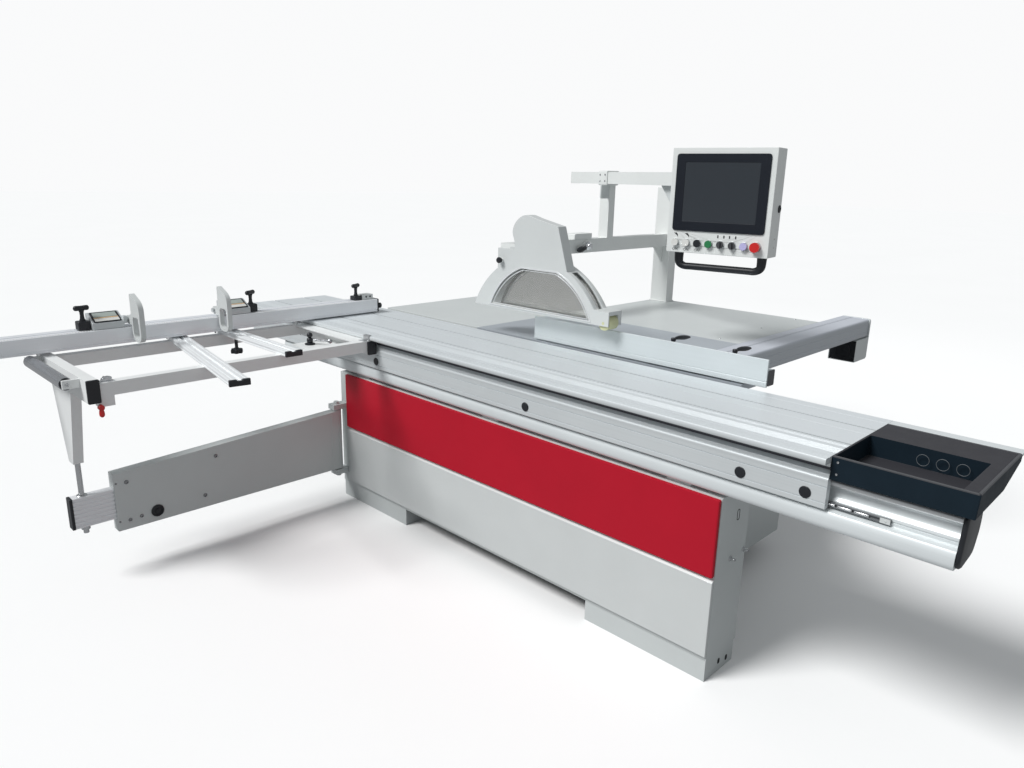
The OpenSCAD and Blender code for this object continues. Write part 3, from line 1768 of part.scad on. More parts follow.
module push(k) {
  at_panel() {
    bar_y(cap_d, ctrl_x(k), panel_front - cap_gap - cap_t, panel_front - cap_gap, ctrl_z);
    bar_y(stem2_d, ctrl_x(k), panel_front - cap_gap, panel_front + stem2_len, ctrl_z);
  }
}

module selector(k) {
  at_panel() {
    bar_y(dial_d, ctrl_x(k), panel_front - stem2_gap - dial_t, panel_front - stem2_gap, ctrl_z);
    box([ctrl_x(k) - grip_w * half_share, panel_front - stem2_gap - dial_t - grip_t,
      ctrl_z - dial_d * half_share],
      [ctrl_x(k) + grip_w * half_share, panel_front - stem2_gap - dial_t,
        ctrl_z + dial_d * half_share]);
    bar_y(stem2_d, ctrl_x(k), panel_front - stem2_gap, panel_front + stem2_len, ctrl_z);
  }
}

module button_main() {
  color("white")
    push(0);
}

module button_scoring() {
  color("white")
    push(1);
}

module button_off() {
  color("black")
    push(2);
}

module button_next() {
  color("green")
    push(3);
}

module selector_a() {
  color("dimgray")
    selector(4);
}

module selector_b() {
  color("dimgray")
    selector(5);
}

module button_reset() {
  color("lavender")
    push(6);
}

module emergency_stop() {
  x = ctrl_x(ctrl_count - 1);
  color("red")
    at_panel() {
      bar_y(mush_d, x, panel_front - mush_neck - mush_t, panel_front - mush_neck, ctrl_z);
      bar_y(stem2_d, x, panel_front - mush_neck, panel_front + stem2_len, ctrl_z);
    }
}

placed() base_cabinet();
placed() upper_panel();
placed() lower_panel();
placed() main_table();
placed() rear_table();
placed() right_table();
placed() rail_beam();
placed() rail_rods();
placed() guide_beam();
placed() beam_end();
placed() guard_column();
placed() guard_arm();
placed() tilt_supports();
placed() roller_cage();
placed() carriage();
placed() tool_tray();
placed() outrigger_frame();
placed() support_slats();
placed() leg_rod();
placed() outrigger_roller();
placed() frame_lever();
placed() clamp_lever();
placed() under_knob();
placed() crosscut_fence();
placed() stop_left();
placed() flap_left();
placed() knob_left();
placed() stop_right();
placed() flap_right();
placed() knob_right();
placed() fence_knob();
placed() swing_arm();
placed() arm_tube();
placed() rip_head();
placed() rip_profile();
placed() rip_lever_a();
placed() rip_lever_b();
placed() tilt_frame();
placed() saw_carrier();
placed() main_motor();
placed() saw_blade();
placed() arbor();
placed() motor_pulley();
placed() scoring_blade();
placed() guard_hood();
placed() hood_window();
placed() hood_roller();
placed() hood_lever();
placed() panel_boom();
placed() panel_box();
placed() panel_screen();
placed() panel_handle();
placed() button_main();
placed() button_scoring();
placed() button_off();
placed() button_next();
placed() selector_a();
placed() selector_b();
placed() button_reset();
placed() emergency_stop();
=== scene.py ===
"""Finishes, trim and studio for a sliding table saw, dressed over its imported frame."""

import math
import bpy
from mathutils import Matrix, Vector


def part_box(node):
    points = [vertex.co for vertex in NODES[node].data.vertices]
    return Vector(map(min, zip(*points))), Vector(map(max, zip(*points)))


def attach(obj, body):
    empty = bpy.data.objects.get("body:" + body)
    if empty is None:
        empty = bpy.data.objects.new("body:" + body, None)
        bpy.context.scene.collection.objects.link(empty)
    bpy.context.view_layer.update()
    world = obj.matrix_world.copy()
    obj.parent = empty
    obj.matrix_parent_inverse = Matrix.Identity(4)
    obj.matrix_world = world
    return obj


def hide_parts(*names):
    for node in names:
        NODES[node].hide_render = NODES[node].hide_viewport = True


bl_info = {
    "name": "Sliding Table Saw Dresser",
    "version": (1, 0, 0),
    "blender": (4, 5, 0),
    "location": "View3D > Sidebar > Table Saw",
    "description": "Finishes the sliding table saw and adds its trim, studio and camera",
    "category": "Object",
}

from functools import partial

import bmesh
import bpy
import numpy as np
from bpy.props import FloatProperty, FloatVectorProperty, IntProperty, PointerProperty
from mathutils import Matrix, Vector

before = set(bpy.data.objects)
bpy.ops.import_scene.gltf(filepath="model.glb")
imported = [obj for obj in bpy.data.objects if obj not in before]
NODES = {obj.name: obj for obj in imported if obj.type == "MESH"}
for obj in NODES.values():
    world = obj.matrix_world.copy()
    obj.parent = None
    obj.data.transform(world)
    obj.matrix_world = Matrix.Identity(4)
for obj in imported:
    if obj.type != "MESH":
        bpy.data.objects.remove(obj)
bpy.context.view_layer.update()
MM = 0.001
FINISH = {}
GROUPS = {}

# Machine zero: the blade plane, the blade axis and the floor
ZERO = sum(np.array(p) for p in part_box("saw_blade")) / 2 * np.array([1, 1, 0])
RIGHT, BACK, UP = np.eye(3)
LEFT, FRONT = -RIGHT, -BACK
TABLE_TOP = 870.0
# Reach of the carriage's lip, height of the fence's profile and distance of the tray's raised block
LIP_OUT, FENCE_TALL, TRAY_BLOCK = 34, 64, 245
# Turn in degrees and pivot of the pieces that stand askew
PANEL_PLACE = -81.3, (595.677, -404.245, 0)
BOOM_PLACE = -109.9, (885.0, 395.0, 0)
CAMERA_PLACE = np.array([-2410, -2150, 1557])
# Directions of drawn lines: a low value runs along them, high ones across
LINES_X, LINES_Y, LINES_Z = (1.0, 260.0, 260.0), (260.0, 1.0, 260.0), (300.0, 300.0, 4.0)


def place(node):
    """Lowest and highest corner of a CAD node, in millimetres from machine zero."""
    return tuple((np.array(p) - ZERO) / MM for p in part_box(node))


def middle(node):
    """Middle of a CAD node's box, in millimetres from machine zero."""
    return sum(place(node)) / 2


# Shapes are points and faces in millimetres from machine zero


def rect(width, height):
    """Outline of a rectangle about zero."""
    return np.array([[-1, -1], [1, -1], [1, 1], [-1, 1]]) * np.array([width, height]) / 2


def circle(radius, count=24):
    """Outline of a circle: radius times the cosine and sine of even angles."""
    a = np.linspace(0, 2 * np.pi, count, endpoint=False)
    return np.stack([np.cos(a), np.sin(a)], -1) * radius


def at(x, y, points):
    """Points of an outline measured from a corner."""
    return [(x + a, y + b) for a, b in points]


def rounded(points, cut, steps=5):
    """Each corner becomes a quadratic curve that leaves its two sides at the distance cut."""
    p = np.asarray(points, float)
    back = np.roll(p, 1, 0) - p
    ahead = np.roll(p, -1, 0) - p
    la = np.linalg.norm(back, axis=1, keepdims=True)
    lb = np.linalg.norm(ahead, axis=1, keepdims=True)
    reach = np.minimum(np.broadcast_to(np.reshape(cut, (-1, 1)), la.shape), 0.49 * np.minimum(la, lb))
    a = p + back / la * reach
    b = p + ahead / lb * reach
    t = np.linspace(0, 1, steps)[None, :, None]
    curve = (1 - t) ** 2 * a[:, None] + 2 * t * (1 - t) * p[:, None] + t**2 * b[:, None]
    return curve.reshape(-1, 2)


def dips(features, top):
    """Top line of an extrusion from right to left; features are a middle, width, depth and undercut."""
    line = []
    for x, w, d, foot in sorted(features, reverse=True):
        if foot:
            line += at(x, top, [(w, 0), (w, -d), (foot, -d), (foot, -2 * d), (-foot, -2 * d), (-foot, -d),
                                (-w, -d), (-w, 0)])
        else:
            line += at(x, top, [(w, 0), (0.6 * w, -d), (-0.6 * w, -d), (-w, 0)])
    return line


def moon(radius, centre, low, high, count=28):
    """Outline of a round window cut off below and above: the two arcs of a circle between two heights."""
    a = np.linspace(*(math.asin((z - centre[1]) / radius) for z in (low, high)), count)
    right = np.stack([np.cos(a), np.sin(a)], -1) * radius
    return np.concatenate([right, right[::-1] * (-1, 1)]) + centre


def bend(points, count=8):
    """A smooth path through a few points: each piece is a cubic of the points around it."""
    p = np.asarray(points, float)
    p = np.concatenate([2 * p[:1] - p[1:2], p, 2 * p[-1:] - p[-2:-1]])
    t = np.linspace(0, 1, count, endpoint=False)[None, :, None]
    a, b, c, d = p[:-3, None], p[1:-2, None], p[2:-1, None], p[3:, None]
    square, cube = 2 * a - 5 * b + 4 * c - d, 3 * b - a - 3 * c + d
    curve = 0.5 * (2 * b + (c - a) * t + square * t**2 + cube * t**3)
    return np.concatenate([curve.reshape(-1, 3), p[-2:-1]])


def grid(rows, cols, wrap_rows=False, wrap_cols=False):
    """Quads between the neighbours of a rows by cols grid of points."""
    i, j = np.meshgrid(
        np.arange(rows if wrap_rows else rows - 1),
        np.arange(cols if wrap_cols else cols - 1),
        indexing="ij",
    )
    i2, j2 = (i + 1) % rows, (j + 1) % cols
    quads = np.stack([i * cols + j, i * cols + j2, i2 * cols + j2, i2 * cols + j], -1)
    return quads.reshape(-1, 4)


def loft(rings):
    """Skin over closed rings of equal count, with the first and last ring filled."""
    n, m = rings.shape[:2]
    faces = grid(n, m, wrap_cols=True).tolist()
    return rings.reshape(-1, 3), faces + [list(range(m))[::-1], list(range((n - 1) * m, n * m))]


def axes(axis):
    """Index of an axis and of the two others, in X, Y, Z order."""
    k = "xyz".index(axis)
    return k, [i for i in range(3) if i != k]


def placed(outlines, axis, places):
    """Rings of points: each outline stands across an axis at its place along it."""
    k, others = axes(axis)
    rings = np.zeros((len(places), len(outlines[0]), 3))
    rings[:, :, others] = np.asarray(outlines, float)
    rings[:, :, k] = np.asarray(places, float)[:, None]
    return rings


def along(profile, axis, start, end):
    """A profile carried straight along X, Y or Z; its two values are the other axes, in X, Y, Z order."""
    return loft(placed([profile, profile], axis, (start, end)))


def ends(profile, axis, start, end, out, into):
    """Two caps at the ends of a beam, each with its reach out of the beam and into it."""
    return [along(profile, axis, start - out, start + into), along(profile, axis, end - into, end + out)]


def ring_plate(outer, inner, axis, start, end):
    """A plate with a hole: two outlines of equal count, carried along an axis and joined at the ends."""
    rings = placed([outer, outer, inner, inner], axis, (start, end, end, start))
    return rings.reshape(-1, 3), grid(*rings.shape[:2], wrap_rows=True, wrap_cols=True).tolist()


def block(lo, hi, corner=0.0, axis="z"):
    """A box between two corners whose outline across the axis has rounded corners."""
    lo, hi = np.asarray(lo, float), np.asarray(hi, float)
    k, others = axes(axis)
    outline = rect(*(hi - lo)[others]) + ((lo + hi) / 2)[others]
    if corner:
        outline = rounded(outline, corner)
    return along(outline, axis, lo[k], hi[k])


def sweep(profile, path, size=1.0, up=UP):
    """A flat profile times a size, carried along a path: its values run along the path's side and lift."""
    path, profile = np.asarray(path, float), np.asarray(profile, float)
    tangent = np.gradient(path, axis=0)
    tangent /= np.linalg.norm(tangent, axis=1, keepdims=True)
    side = np.cross(tangent, up)
    side /= np.linalg.norm(side, axis=1, keepdims=True)
    lift = np.cross(side, tangent)
    size = np.broadcast_to(size, len(path))[:, None, None]
    return loft(path[:, None] + size * (profile[:, :1] * side[:, None] + profile[:, 1:] * lift[:, None]))


def tube(points, radii, count=20, smooth=8, up=BACK):
    """A round bar along a smooth path; its radius runs between the given radii."""
    path = bend(points, smooth)
    radius = np.interp(np.linspace(0, 1, len(path)), np.linspace(0, 1, len(radii)), radii)
    return sweep(circle(1.0, count), path, radius, up)


def turned(profile, centre, axis, count=32):
    """A profile of radius and height turned about an axis: radius times cosine and sine, plus height."""
    axis = np.asarray(axis, float) / np.linalg.norm(axis)
    u = np.cross(axis, UP if abs(axis[2]) < 0.9 else RIGHT)
    u /= np.linalg.norm(u)
    ring = circle(1.0, count) @ np.stack([u, np.cross(axis, u)])
    p = np.asarray(profile, float)
    return loft(np.asarray(centre) + p[:, :1, None] * ring[None] + p[:, 1:, None] * axis)


def turned_ring(radius, thick, centre, axis, count=32):
    """A round ring: a small circle turned about an axis at a radius."""
    a = np.linspace(0, 2 * np.pi, 9)
    verts, faces = turned(np.stack([radius + thick * np.cos(a), thick * np.sin(a)], -1), centre, axis,
                          count)
    return verts, faces[:-2]


def ball(radius, centre):
    """A ball: a half circle turned about the upright axis."""
    a = np.linspace(0, np.pi, 13)
    return turned(np.stack([radius * np.sin(a) + 0.2, -radius * np.cos(a)], -1), centre, UP, 24)


def lobed(radius, wave, centre, axis, places):
    """A knob whose rings have a radius that waves with the angle, at places along an axis."""
    ring = wave[:, None] * circle(1.0, len(wave))
    return loft(placed(np.array(radius)[:, None, None] * ring + centre, axis, places))


def screw(centre, axis, size):
    """A domed screw head with a hollow drive: a profile of radius and height turned about its axis."""
    r = size / 2
    return turned([(r, -0.5), (r, 0.2 * r), (0.86 * r, 0.42 * r), (0.45 * r, 0.5 * r), (0.42 * r, 0.15 * r),
                   (0.02 * r, 0.12 * r)], centre, axis, 20)


def wing_knob(x, y, z, turn):
    """A wing knob: a turned stem under a bar whose oval sections swell to both ends."""
    stem = turned([(0.3, 0), (11, 0), (11, 4), (8.5, 9), (7.5, 22), (8, 34), (10.5, 42), (8, 46),
                   (0.3, 47)], (0, 0, 0), UP, 24)
    t = np.linspace(-1, 1, 17)
    end = np.sqrt(np.clip(1 - np.abs(t) ** 6, 0.02, 1))
    half = np.stack([(10 + t**2) * end, (9.5 + 3 * t**2) * end], -1)
    bar = loft(placed(half[:, None] * circle(1.0) + (0, 51), "x", 30 * t))
    return moved(joined(stem, bar), turn, (x, y, z))


def moved(shape, turn=0.0, by=(0, 0, 0), axis="z"):
    """A shape turned about an axis by degrees and then moved."""
    c, s = math.cos(math.radians(turn)), math.sin(math.radians(turn))
    _, (i, j) = axes(axis)
    spin = np.eye(3)
    spin[[i, i, j, j], [i, j, i, j]] = c, s, -s, c
    return np.asarray(shape[0]) @ spin + np.asarray(by, float), shape[1]


def many(shape, places):
    """The same shape at every place: its points plus each place."""
    return joined(*[moved(shape, by=p) for p in places])


def joined(*shapes):
    """Several shapes as one list of points and faces."""
    starts = np.cumsum([0] + [len(v) for v, _ in shapes[:-1]])
    verts = np.concatenate([np.asarray(v) for v, _ in shapes])
    return verts, [[i + s for i in f] for (_, faces), s in zip(shapes, starts) for f in faces]


def build(name, shape, finish, body, slot=None, instead=None, bevel=0.0, smooth=35.0, stand=()):
    """Makes a shape, or a list of shapes, a finished object that moves with a CAD body.

    It takes the place of a CAD node if one is named. The bevel is in millimetres, edges sharper than the
    angle smooth stay sharp, and stand is the turn and pivot of a piece that stands askew.
    """
    verts, faces = moved(joined(*shape) if isinstance(shape, list) else shape, *stand)
    mesh = bpy.data.meshes.new(name)
    mesh.from_pydata((ZERO + np.asarray(verts, float) * MM).tolist(), [], faces)
    work = bmesh.new()
    work.from_mesh(mesh)
    bmesh.ops.remove_doubles(work, verts=work.verts, dist=1e-6)
    bmesh.ops.recalc_face_normals(work, faces=work.faces)
    work.to_mesh(mesh)
    work.free()
    mesh.shade_smooth()
    mesh.set_sharp_from_angle(angle=math.radians(smooth))
    mesh.materials.append(FINISH[finish])
    obj = bpy.data.objects.new(name, mesh)
    bpy.context.scene.collection.objects.link(obj)
    if bevel:
        soften(obj, bevel * MM)
    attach(obj, body)
    if instead:
        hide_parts(instead)


def soften(obj, width):
    """Rounds the sharp edges of an object."""
    mod = obj.modifiers.new("Softened edges", "BEVEL")
    mod.width = width
    mod.segments = 2
    mod.limit_method = "ANGLE"
    mod.angle_limit = math.radians(40)
    mod.harden_normals = False


# Finishes


def new_group(name, outputs, **inputs):
    """An empty shader group with named sockets; each input has its default."""
    kinds = {"Color": "Color", "Dust": "Color", "Top": "Color", "Stretch": "Vector", "Direction": "Vector"}
    group = bpy.data.node_groups.new(name, "ShaderNodeTree")
    sockets = [(label, "INPUT", value) for label, value in inputs.items()]
    for label, way, value in sockets + [(label, "OUTPUT", None) for label in outputs]:
        kind = "NodeSocket" + kinds.get(label, "Float")
        socket = group.interface.new_socket(label, in_out=way, socket_type=kind)
        if value is not None:
            socket.default_value = value
    return group, group.nodes.new("NodeGroupInput").outputs, group.nodes.new("NodeGroupOutput").inputs


def add(tree, kind, links=(), **values):
    """A node with its values set, linked from (output, input name or index) pairs."""
    node = tree.nodes.new(kind)
    for key, value in values.items():
        if hasattr(node, key):
            setattr(node, key, value)
        else:
            node.inputs[key.replace("_", " ")].default_value = value
    for source, target in links:
        tree.links.new(source, node.inputs[target])
    return node


def spot(tree):
    """Object coordinates."""
    return add(tree, "ShaderNodeTexCoord").outputs["Object"]


def calc(tree, operation, *values):
    """Result of a math node; each value is a number or the output that feeds it."""
    node = add(tree, "ShaderNodeMath", operation=operation)
    for socket, value in zip(node.inputs, values):
        if isinstance(value, float):
            socket.default_value = value
        else:
            tree.links.new(value, socket)
    return node.outputs[0]


def swung(tree, noise, amount):
    """A noise about zero, times an amount."""
    return calc(tree, "MULTIPLY", calc(tree, "SUBTRACT", noise, 0.5), amount)


def scaled(tree, colour, gain):
    """A colour times a gain."""
    return add(tree, "ShaderNodeVectorMath", [(colour, 0), (gain, "Scale")], operation="SCALE").outputs[0]


def facing_up(tree, low, high):
    """A mask that grows where a surface faces up: the normal's Z from a low to a high value."""
    normal = add(tree, "ShaderNodeNewGeometry").outputs["Normal"]
    lift = add(tree, "ShaderNodeSeparateXYZ", [(normal, 0)]).outputs["Z"]
    return add(tree, "ShaderNodeMapRange", [(lift, "Value")], From_Min=low, From_Max=high).outputs[0]


def mixed(tree, factor, under, over):
    """Two colours mixed by a factor."""
    links = [(factor, "Factor"), (under, "A"), (over, "B")]
    return add(tree, "ShaderNodeMix", links, data_type="RGBA").outputs["Result"]


def make_tone_group():
    """Cloudy tone: a noise darkens and lightens a colour and shifts its roughness."""
    group, first, last = new_group("Cloudy tone", ("Color", "Roughness"), Color=None, Scale=6.0,
                                   Amount=0.08, Roughness=0.4)
    noise = add(group, "ShaderNodeTexNoise", [(spot(group), "Vector"), (first["Scale"], "Scale")],
                Detail=6.0, Roughness=0.6)
    swing = swung(group, noise.outputs["Fac"], first["Amount"])
    gain = calc(group, "MULTIPLY_ADD", swing, 2.0, 1.0)
    group.links.new(scaled(group, first["Color"], gain), last["Color"])
    group.links.new(calc(group, "ADD", swing, first["Roughness"]), last["Roughness"])
    return group


def make_peel_group():
    """Fine peel of sprayed or moulded surfaces: the height of a fine noise."""
    group, first, last = new_group("Fine peel", ("Height",), Scale=400.0)
    noise = add(group, "ShaderNodeTexNoise", [(spot(group), "Vector"), (first["Scale"], "Scale")],
                Detail=2.0, Roughness=0.5)
    group.links.new(noise.outputs["Fac"], last["Height"])
    return group


def make_line_group():
    """Drawn lines: noise squeezed across one direction, as on ground or drawn metal."""
    group, first, last = new_group("Drawn lines", ("Color", "Height"), Stretch=(400.0, 2.0, 400.0),
                                   Color=None, Amount=0.1)
    size = add(group, "ShaderNodeVectorMath", [(spot(group), 0), (first["Stretch"], 1)],
               operation="MULTIPLY")
    noise = add(group, "ShaderNodeTexNoise", [(size.outputs[0], "Vector")], Scale=1.0,
                Detail=3.0).outputs["Fac"]
    gain = calc(group, "MULTIPLY_ADD", swung(group, noise, first["Amount"]), 2.0, 1.0)
    group.links.new(scaled(group, first["Color"], gain), last["Color"])
    group.links.new(noise, last["Height"])
    return group


def make_dust_group():
    """Dust: a mask that grows where a surface faces up and a noise is high, mixed into a colour."""
    group, first, last = new_group("Settled dust", ("Color",), Color=None, Dust=(0.62, 0.63, 0.62, 1),
                                   Amount=0.12)
    noise = add(group, "ShaderNodeTexNoise", [(spot(group), "Vector")], Scale=14.0, Detail=8.0)
    both = calc(group, "MULTIPLY", facing_up(group, 0.2, 0.95), noise.outputs["Fac"])
    mask = calc(group, "MULTIPLY", both, first["Amount"])
    group.links.new(mixed(group, mask, first["Color"], first["Dust"]), last["Color"])
    return group


def make_rib_group():
    """Ribs: a sine of one object coordinate gives the height of ribs and darkens the floor between them."""
    group, first, last = new_group("Straight ribs", ("Color", "Height"), Direction=(1.0, 0.0, 0.0),
                                   Pitch=0.006, Color=None, Amount=0.3)
    dot = add(group, "ShaderNodeVectorMath", [(spot(group), 0), (first["Direction"], 1)],
              operation="DOT_PRODUCT")
    turn = calc(group, "DIVIDE", dot.outputs["Value"], first["Pitch"])
    wave = calc(group, "SINE", calc(group, "MULTIPLY", turn, 2 * math.pi))
    height = add(group, "ShaderNodeMapRange", [(wave, "Value")], From_Min=-0.9, From_Max=-0.3).outputs[0]
    low = calc(group, "SUBTRACT", 1.0, first["Amount"])
    gain = add(group, "ShaderNodeMapRange", [(height, "Value"), (low, "To Min")]).outputs[0]
    group.links.new(scaled(group, first["Color"], gain), last["Color"])
    group.links.new(height, last["Height"])
    return group


def make_lit_top_group():
    """Painted lit top: a second, lighter colour comes in where a surface faces up, as painted light and
    sheen on tops.
    """
    group, first, last = new_group("Painted lit top", ("Color",), Color=None, Top=None)
    group.links.new(mixed(group, facing_up(group, 0.1, 0.9), first["Color"], first["Top"]), last["Color"])
    return group


def use(tree, group, **values):
    """Places a shared group in a material with its own values."""
    node = tree.nodes.new("ShaderNodeGroup")
    node.node_tree = GROUPS[group]
    for key, value in values.items():
        node.inputs[key].default_value = value
    return node


def new_material(name):
    """An empty material with its surface shader."""
    mat = bpy.data.materials.new(name)
    mat.use_nodes = True
    FINISH[name] = mat
    return mat, mat.node_tree, mat.node_tree.nodes["Principled BSDF"]


def surface(name, tone, relief=None, layer=None, **plain):
    """A material with a cloudy tone, a relief below it, a layer over it and plain values of the shader.

    The tone is its group's values, the relief a group with its values and a bump's distance and strength,
    and the layer a group with its values.
    """
    _, tree, shader = new_material(name)
    cloud = use(tree, "tone", **tone)
    colour = cloud.outputs["Color"]
    if relief:
        group, values, distance, strength = relief
        base = use(tree, group, **values)
        if "Color" in base.outputs:
            tree.links.new(base.outputs["Color"], cloud.inputs["Color"])
        bump = add(tree, "ShaderNodeBump", [(base.outputs["Height"], "Height")], Strength=strength,
                   Distance=distance)
        tree.links.new(bump.outputs["Normal"], shader.inputs["Normal"])
    if layer:
        over = use(tree, layer[0], **layer[1])
        tree.links.new(colour, over.inputs["Color"])
        colour = over.outputs["Color"]
    tree.links.new(colour, shader.inputs["Base Color"])
    tree.links.new(cloud.outputs["Roughness"], shader.inputs["Roughness"])
    for key, value in plain.items():
        shader.inputs[key.replace("_", " ")].default_value = value


def painted(name, colour, rough, amount=0.05, dust=0.0, coat=0.0, shine=0.5):
    """Sprayed paint: cloudy tone, fine peel and settled dust."""
    surface(name, dict(Color=(*colour, 1), Scale=5.0, Amount=amount, Roughness=rough),
            ("peel", dict(Scale=420.0), 0.0004, 0.12), dust and ("dust", dict(Amount=dust)),
            Coat_Weight=coat, Specular_IOR_Level=shine)


def drawn(name, colour, rough, stretch=LINES_Y, metallic=0.3, amount=0.05, height=0.0001, top=None):
    """Drawn or ground metal: lines along one direction under a cloudy tone, and a lighter tone on its top as
    painted light.
    """
    surface(name, dict(Scale=3.0, Amount=0.08, Roughness=rough),
            ("lines", dict(Stretch=stretch, Color=(*colour, 1), Amount=amount), height, 0.15),
            top and ("top", dict(Top=(*top, 1))), Metallic=metallic)


def ribbed(name, colour, rough, direction, pitch, amount):
    """Metal with a print of fine straight lines."""
    surface(name, dict(Scale=4.0, Amount=0.06, Roughness=rough),
            ("ribs", dict(Direction=direction, Pitch=pitch, Color=(*colour, 1), Amount=amount), 0.0001,
             0.5), Metallic=0.1)


def moulded(name, colour, rough, peel=700.0, amount=0.12, coat=0.0, shine=0.5, top=None):
    """Moulded plastic or rubber with a fine grain, and a lighter tone on its top as a painted highlight."""
    surface(name, dict(Color=(*colour, 1), Scale=18.0, Amount=amount, Roughness=rough),
            ("peel", dict(Scale=peel), 0.0003, 0.25), top and ("top", dict(Top=(*top, 1))),
            Coat_Weight=coat, Specular_IOR_Level=shine)


def clear(name, colour, rough):
    """Clear sheet with a faint cloud in its gloss."""
    surface(name, dict(Color=(*colour, 1), Scale=9.0, Amount=0.05, Roughness=rough),
            Transmission_Weight=0.92, IOR=1.2)


def dress(node, finish, edge=0.0):
    """Gives a CAD node its finish, and softens its sharp edges."""
    obj = NODES[node]
    obj.modifiers.clear()
    obj.data.materials.clear()
    obj.data.materials.append(FINISH[finish])
    if edge:
        weld = obj.modifiers.new("Joined faces", "WELD")
        weld.merge_threshold = 1e-6
        soften(obj, edge)


# Settings


class SAW_PG_finishes(bpy.types.PropertyGroup):
    """Colours of the machine's finishes."""

    def colour(label, words, value):
        return FloatVectorProperty(name=label, description=words, default=value, subtype="COLOR", min=0,
                                   max=1)

    paint: colour("Paint", "Grey-white of the sheet metal", (0.60, 0.632, 0.628))
    white: colour("White", "White of the lower panel and the guard", (0.63, 0.655, 0.65))
    red: colour("Red", "Red of the upper panel", (0.46, 0.006, 0.022))
    aluminium: colour("Aluminium", "Anodised aluminium", (0.68, 0.715, 0.725))
    # The bright aluminium is the lighter colour painted on tops as painted light
    bright: colour("Painted lit aluminium top", "Aluminium painted lighter on tops as their lit shade", (0.74, 0.78, 0.80))
    iron: colour("Iron", "Ground table top", (0.49, 0.53, 0.57))
    black: colour("Black", "Black plastic", (0.012, 0.014, 0.018))
    navy: colour("Tray black", "Blue-black of the tool tray", (0.008, 0.017, 0.026))
    tyre: colour("Roller", "Yellow-green of the guard roller", (0.62, 0.63, 0.38))


class SAW_PG_studio(bpy.types.PropertyGroup):
    """Light and camera of the studio."""

    key: FloatProperty(name="Key light", description="Strength of the high sun on the left", default=2.9,
                       min=0)
    fill: FloatProperty(name="Fill light", description="Power of the light in front", unit="POWER",
                        default=16)
    sky: FloatProperty(name="Sky", description="Strength of the even light", default=0.34, min=0)
    lens: FloatProperty(name="Lens", description="Focal length", unit="CAMERA", default=26.58)
    yaw: FloatProperty(name="Yaw", description="Aim of the camera from +X towards +Y", default=44.363)
    pitch: FloatProperty(name="Pitch", description="Tilt of the camera below the horizon", default=15.157)
    roll: FloatProperty(name="Roll", description="Roll of the camera", default=1.319)


class SAW_PG_trim(bpy.types.PropertyGroup):
    """Sizes of the small trim."""

    plug: FloatProperty(name="Plug", description="Diameter of the side plugs", unit="LENGTH", default=0.034)
    edge: FloatProperty(name="Edge", description="Rounding of sheet-metal edges", unit="LENGTH",
                        default=0.0018)
    ribs: IntProperty(name="Deck ribs", description="Fine ribs beside the carriage's lip", default=6, min=0)


# Pieces


